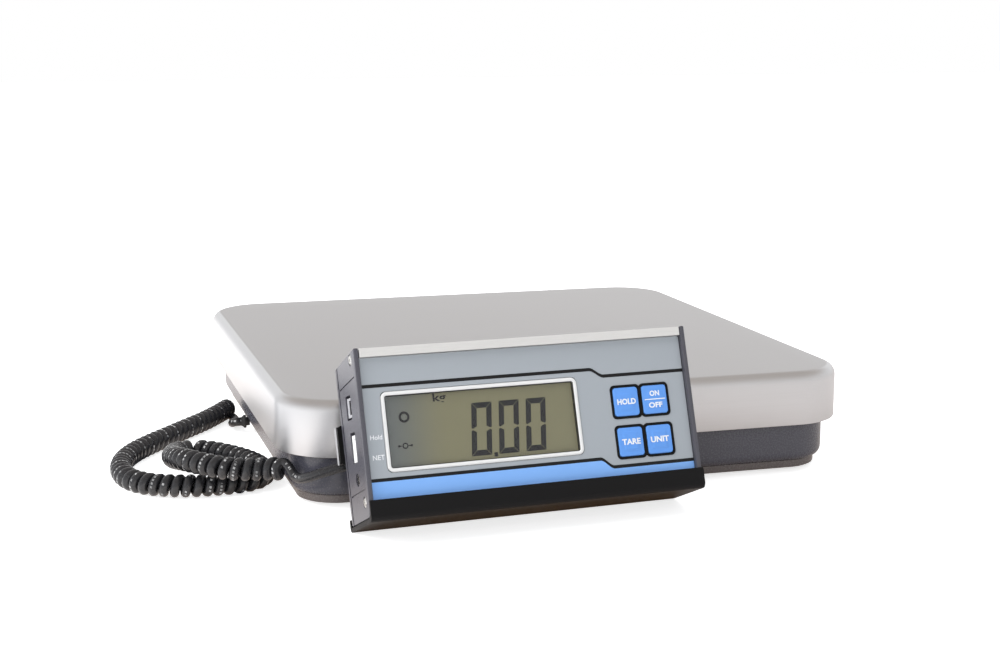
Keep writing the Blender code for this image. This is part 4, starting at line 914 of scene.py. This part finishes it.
def make_film():
    bm = bmesh.new()
    outer = rounded(2 * FACE_HALF, FILM_HIGH - FILM_LOW, 0.8, 2, (0, (FILM_LOW + FILM_HIGH) / 2))
    front = [bm.verts.new(unit(x, z, 0.0)) for x, z in outer]
    edges = [bm.edges.new((front[i], front[(i + 1) % len(front)])) for i in range(len(front))]
    holes = [rounded(LCD_W + 0.6, LCD_H + 0.6, 3.0, 5, (LCD_X, LCD_Z))]
    for sign in (1, -1):
        middle = (KEY_X, KEY_Z + sign * KEY_PITCH_Z / 2)
        holes.append(rounded(KEY_PITCH_X + KEY_W + 0.8, KEY_H + 0.8, 1.8, 5, middle))
    loops = [front]
    for hole in holes:
        loop = [bm.verts.new(unit(x, z, 0.0)) for x, z in hole]
        edges += [bm.edges.new((loop[i], loop[(i + 1) % len(loop)])) for i in range(len(loop))]
        loops.append(loop)
    bmesh.ops.triangle_fill(bm, edges=edges, use_beauty=True)
    shift = UNIT.to_3x3() @ Vector((0, 0.0008, 0))
    for loop in loops:
        skin(bm, [loop, [bm.verts.new(v.co + shift) for v in loop]])
    film = piece("front_film", bm, FILM, "frame", ("overlay",), 30)
    xs = [-FACE_HALF, 0.0, 20.0] + [30 + 0.5 * i for i in range(30)] + [60.0, FACE_HALF]
    bm = bmesh.new()
    for line in (LINE_UP, LINE_LOW):
        middles = [(x, step_line(line, x)) for x in xs]
        band(bm, [(x, z - LINE_HALF, z + LINE_HALF) for x, z in middles], -0.03)
    piece("film_lines", bm, INK_BLACK)
    bm = bmesh.new()
    band(bm, [(x, FILM_LOW, step_line(LINE_LOW, x) - 0.2) for x in xs], -0.02)
    piece("film_blue_band", bm, INK_BLUE)


make_film()


def add_text(bm, words, centre, height, width, front, bold=0.0):
    """Raised lettering laid on the face of the unit, scaled to a width and height in millimetres."""
    curve = bpy.data.curves.new("lettering", "FONT")
    curve.body = words
    curve.offset = bold
    curve.resolution_u = 3
    obj = bpy.data.objects.new("lettering", curve)
    scene.collection.objects.link(obj)
    bpy.context.view_layer.update()
    mesh = bpy.data.meshes.new_from_object(obj.evaluated_get(bpy.context.evaluated_depsgraph_get()))
    bpy.data.objects.remove(obj)
    bpy.data.curves.remove(curve)
    xs = [v.co.x for v in mesh.vertices]
    ys = [v.co.y for v in mesh.vertices]
    for vert in mesh.vertices:
        x = centre[0] + ((vert.co.x - min(xs)) / (max(xs) - min(xs)) - 0.5) * width
        z = centre[1] + ((vert.co.y - min(ys)) / (max(ys) - min(ys)) - 0.5) * height
        vert.co = Vector((x, z, 0))
    for vert in mesh.vertices:
        level = front(vert.co.x, vert.co.y) if callable(front) else front
        vert.co = unit(vert.co.x, vert.co.y, level)
    bm.from_mesh(mesh)
    bpy.data.meshes.remove(mesh)


def make_film_words():
    bm = bmesh.new()
    add_text(bm, "Hold", (-80.9, 40.2), 2.3, 6.0, -0.03, 0.01)
    add_text(bm, "NET", (-80.6, 30.4), 2.4, 6.0, -0.03, 0.01)
    piece("film_words", bm, INK_WHITE)


make_film_words()


# The display.
# White frame round a black gasket that also paints the shade in its recess, a clear window, and a
# reflective cell with dark segments.

def frame_rings(w, h, r, least, spec, centre):
    """Rings of a rounded frame from (inset, depth) pairs, with the least radius of its corners."""
    out = []
    for inset, y in spec:
        outline = rounded(w - 2 * inset, h - 2 * inset, max(r - inset, least), 6, centre)
        out.append([unit(x, z, y) for x, z in outline])
    return out


def closed_ring(bm, rings):
    """Skin through rings that runs back into the first one."""
    loops = loops_of(bm, rings)
    skin(bm, loops + loops[:1])


def screen_material():
    """Olive reflective cell, greyer and darker towards its left edge."""
    mat = finish("screen_olive", (0.235, 0.222, 0.128), 0.38, spread=0.03, rough_spread=0.1,
                 scale=(1500, 1500, 1500), height=0.000004, smudge=0.02)
    tree = mat.node_tree
    shader = tree.nodes["Principled BSDF"]
    grain = tree.nodes["grain"]
    coords = tree.nodes.new("ShaderNodeTexCoord").outputs["Object"]
    split = tree.nodes.new("ShaderNodeSeparateXYZ")
    link(tree, coords, split.inputs[0])
    left = ramp(tree, split.outputs["X"], -0.085, -0.118)
    colour = mix_colour(tree, left, grain.outputs["Colour"], (0.150, 0.165, 0.160))
    link(tree, colour, shader.inputs["Base Color"])
    return mat


def glass_material():
    mat = bpy.data.materials.new("window_glass")
    mat.use_nodes = True
    tree = mat.node_tree
    shader = tree.nodes["Principled BSDF"]
    shader.inputs["Base Color"].default_value = (1.0, 1.0, 1.0, 1.0)
    shader.inputs["Roughness"].default_value = 0.06
    clear = tree.nodes.new("ShaderNodeBsdfTransparent")
    fresnel = tree.nodes.new("ShaderNodeFresnel")
    fresnel.inputs["IOR"].default_value = 1.45
    gloss = tree.nodes.new("ShaderNodeBsdfGlossy")
    coords = tree.nodes.new("ShaderNodeTexCoord").outputs["Object"]
    smear = noise_node(tree, coords, 60.0)
    link(tree, ramp(tree, smear, 0.3, 0.7, 0.04, 0.14), gloss.inputs["Roughness"])
    mix = tree.nodes.new("ShaderNodeMixShader")
    link(tree, math_node(tree, "MULTIPLY", fresnel.outputs[0], 0.45), mix.inputs[0])
    link(tree, clear.outputs[0], mix.inputs[1])
    link(tree, gloss.outputs[0], mix.inputs[2])
    tree.nodes.remove(shader)
    link(tree, mix.outputs[0], tree.nodes["Material Output"].inputs["Surface"])
    return mat


def flat_prism(bm, outline, front, back):
    loft(bm, [[unit(x, z, y) for x, z in outline] for y in (front, back)])


DIGITS_X = (-26.2, -11.8, 2.6)
DIGIT_Z, DIGIT_W, DIGIT_H, DIGIT_T = 40.1, 10.6, 26.3, 2.9
DIGIT_SLANT = 0.10
SEGMENT_FRONT, SEGMENT_T = 1.93, 0.06
SIGN_X, SIGN_Z = -66.1, 35.1


def digit_zero(bm, cx, cy, w, h, t, front):
    """Six lit segments of a nought, with the thin gaps between them."""
    hw, hh = w / 2, h / 2
    g = 0.13
    bars = []
    for s in (1, -1):
        y = cy + s * hh
        inner = y - s * (t - g)
        bars.append([(cx - hw + g, y), (cx + hw - g, y), (cx + hw - t, inner), (cx - hw + t, inner)])
        for q in (1, -1):
            x = cx + q * hw
            x_in = x - q * (t - g)
            top, bottom = cy + s * (hh - g), cy + s * 0.30
            bars.append([(x, top), (x, bottom + s * 0.5), (x - q * 0.7, bottom), (x_in, bottom + s * 1.1),
                         (x_in, top - s * (t - g))])
    for bar in bars:
        flat_prism(bm, [(x + DIGIT_SLANT * (z - cy), z) for x, z in bar], front, front + SEGMENT_T)


def make_display():
    at = (LCD_X, LCD_Z)
    bm = bmesh.new()
    spec = [(0.0, 0.6), (0.0, -0.25), (0.15, -0.4), (1.65, -0.4), (1.8, -0.25), (1.8, 0.6)]
    closed_ring(bm, frame_rings(LCD_W, LCD_H, 3.0, 0.15, spec, at))
    piece("display_frame", bm, WHITE_MOULD, "frame", ("lcd_frame",), 50)
    bm = bmesh.new()
    # The gasket's black lining of the recess also stands for the shade that falls in it: painted shade.
    spec = [(1.85, -0.1), (2.15, 0.0), (2.15, 2.6), (1.85, 2.6)]
    closed_ring(bm, frame_rings(LCD_W, LCD_H, 2.0, 0.15, spec, at))
    piece("display_shade_gasket", bm, BLACK_MOULD)
    bm = bmesh.new()
    w, h = LCD_W - 4.4, LCD_H - 4.4
    flat_prism(bm, rounded(w, h, 0.3, 2, at), 0.35, 0.75)
    piece("display_glass", bm, glass_material(), "frame", ("lcd_window",), 40)
    bm = bmesh.new()
    flat_prism(bm, rounded(w, h, 0.3, 2, at), 2.0, 6.2)
    piece("display_cell", bm, screen_material(), "frame", ("lcd_module",), 40)
    make_segments()


def make_segments():
    """The lit segments: three noughts, the point, two round signs and the unit of weight."""
    bm = bmesh.new()
    front, back = SEGMENT_FRONT, SEGMENT_FRONT + SEGMENT_T
    for cx in DIGITS_X:
        digit_zero(bm, cx, DIGIT_Z, DIGIT_W, DIGIT_H, DIGIT_T, front)
    flat_prism(bm, rounded(1.9, 2.1, 0.2, 1, (-20.1, 26.9)), front, back)
    for d, middle, t in ((5.5, (-65.3, 49.1), 1.15), (3.0, (SIGN_X, SIGN_Z), 0.6)):
        rings = [[unit(x, z, y) for x, z in circle(across, 32, middle)]
                 for across, y in ((d, back), (d, front), (d - 2 * t, front), (d - 2 * t, back))]
        closed_ring(bm, rings)
    for dx in (-3.2, 3.2):
        flat_prism(bm, circle(1.2, 12, (SIGN_X + dx, SIGN_Z)), front, back)
        flat_prism(bm, rounded(1.2, 0.5, 0.1, 1, (SIGN_X + dx * 0.72, SIGN_Z)), front, back)
    add_text(bm, "kg", (-46.4, 56.8), 5.3, 6.8, front, 0.02)
    ink = finish("segment_ink", (0.022, 0.022, 0.024), 0.45, spread=0.1, scale=(1500, 1500, 1500),
                 height=0.000003, gloss=0.2)
    piece("display_segments", bm, ink)


make_display()


# The keys.
# Blue rubbery tops with a low round dome, in a black surround with one block for each row.

def key_material():
    return finish("key_blue", (0.115, 0.320, 0.800), 0.36, spread=0.08, rough_spread=0.15,
                  scale=(1800, 1800, 1800), height=0.00001, smudge=0.05)


def dome(x, z):
    """Height of the round dome on a key, in millimetres, at a distance from its middle."""
    t = min(max((6.4 - math.hypot(x, z)) / 1.5, 0.0), 1.0)
    return 0.32 * t * t * (3 - 2 * t)


def key_places():
    return [(KEY_X + sx * KEY_PITCH_X / 2, KEY_Z + sz * KEY_PITCH_Z / 2) for sz in (1, -1) for sx in (-1, 1)]


def make_keys():
    blue = key_material()
    for i, (cx, cz) in enumerate(key_places(), 1):
        bm = bmesh.new()
        rings = []
        for inset, y in ((0.6, 4.1), (0.0, 4.0), (0.0, -0.05), (0.08, -0.28), (0.28, -0.42), (0.6, -0.48)):
            rings.append([unit(cx + x, cz + z, y) for x, z in
                          rounded(KEY_W - 2 * inset, KEY_H - 2 * inset, max(1.6 - inset, 0.5), 6)])
        for k in range(1, 13):
            inset = 0.6 + (KEY_W / 2 - 0.9) * k / 12
            outline = rounded(KEY_W - 2 * inset, KEY_H - 2 * inset, max(1.6 - inset * 0.5, 0.2), 6)
            rings.append([unit(cx + x, cz + z, -0.48 - dome(x, z)) for x, z in outline])
        loft(bm, rings)
        stem = [[unit(cx + x, cz + z, y) for x, z in circle(4.0, 20)] for y in (3.9, 6.8)]
        loft(bm, stem)
        piece(f"key_top_{i}", bm, blue, f"key_{i}", (f"key_{i}",), 50)


KEY_WORDS = (
    (("HOLD", 0.0, 3.0, 10.3),),
    (("ON", 3.1, 2.8, 5.4), ("OFF", -2.9, 2.8, 7.6)),
    (("TARE", 0.0, 3.0, 10.2),),
    (("UNIT", 0.0, 3.0, 10.2),),
)


def make_key_word(number, cx, cz, words):
    """White lettering that follows the dome of a key; a bar parts two words."""
    bm = bmesh.new()

    def level(x, z):
        return -0.52 - dome(x - cx, z - cz)

    for word, dz, h, w in words:
        add_text(bm, word, (cx, cz + dz), h, w, level, 0.034)
    if len(words) > 1:
        xs = [cx - 5.7 + 0.95 * k for k in range(13)]
        for a, b in zip(xs, xs[1:]):
            verts = [bm.verts.new(unit(x, z, level(x, z))) for x, z in
                     ((a, cz - 0.15), (b, cz - 0.15), (b, cz + 0.35), (a, cz + 0.35))]
            bm.faces.new(verts)
    piece(f"key_word_{number}", bm, INK_WHITE, f"key_{number}")


def make_key_surround():
    """Black block round each row, waisted between its two keys, with a square hole for each."""
    for row, sign in enumerate((1, -1)):
        z0 = KEY_Z + sign * KEY_PITCH_Z / 2
        bm = bmesh.new()
        for q in (-1, 1):
            at = (KEY_X + q * KEY_PITCH_X / 2, z0)
            spec = [(0.0, 0.9), (0.0, -0.15), (0.12, -0.35), (0.35, -0.42), (0.95, -0.42), (1.15, -0.3),
                    (1.15, 3.0)]
            skin(bm, loops_of(bm, frame_rings(KEY_W + 2.8, KEY_H + 2.7, 2.4, 0.6, spec, at)))
        nodes = ("keypad_frame",) if row == 0 else ()
        piece(f"key_surround_{row + 1}", bm, SATIN_BLACK, "frame", nodes, 50)


make_keys()
for number, (place, words) in enumerate(zip(key_places(), KEY_WORDS), 1):
    make_key_word(number, *place, words)
make_key_surround()
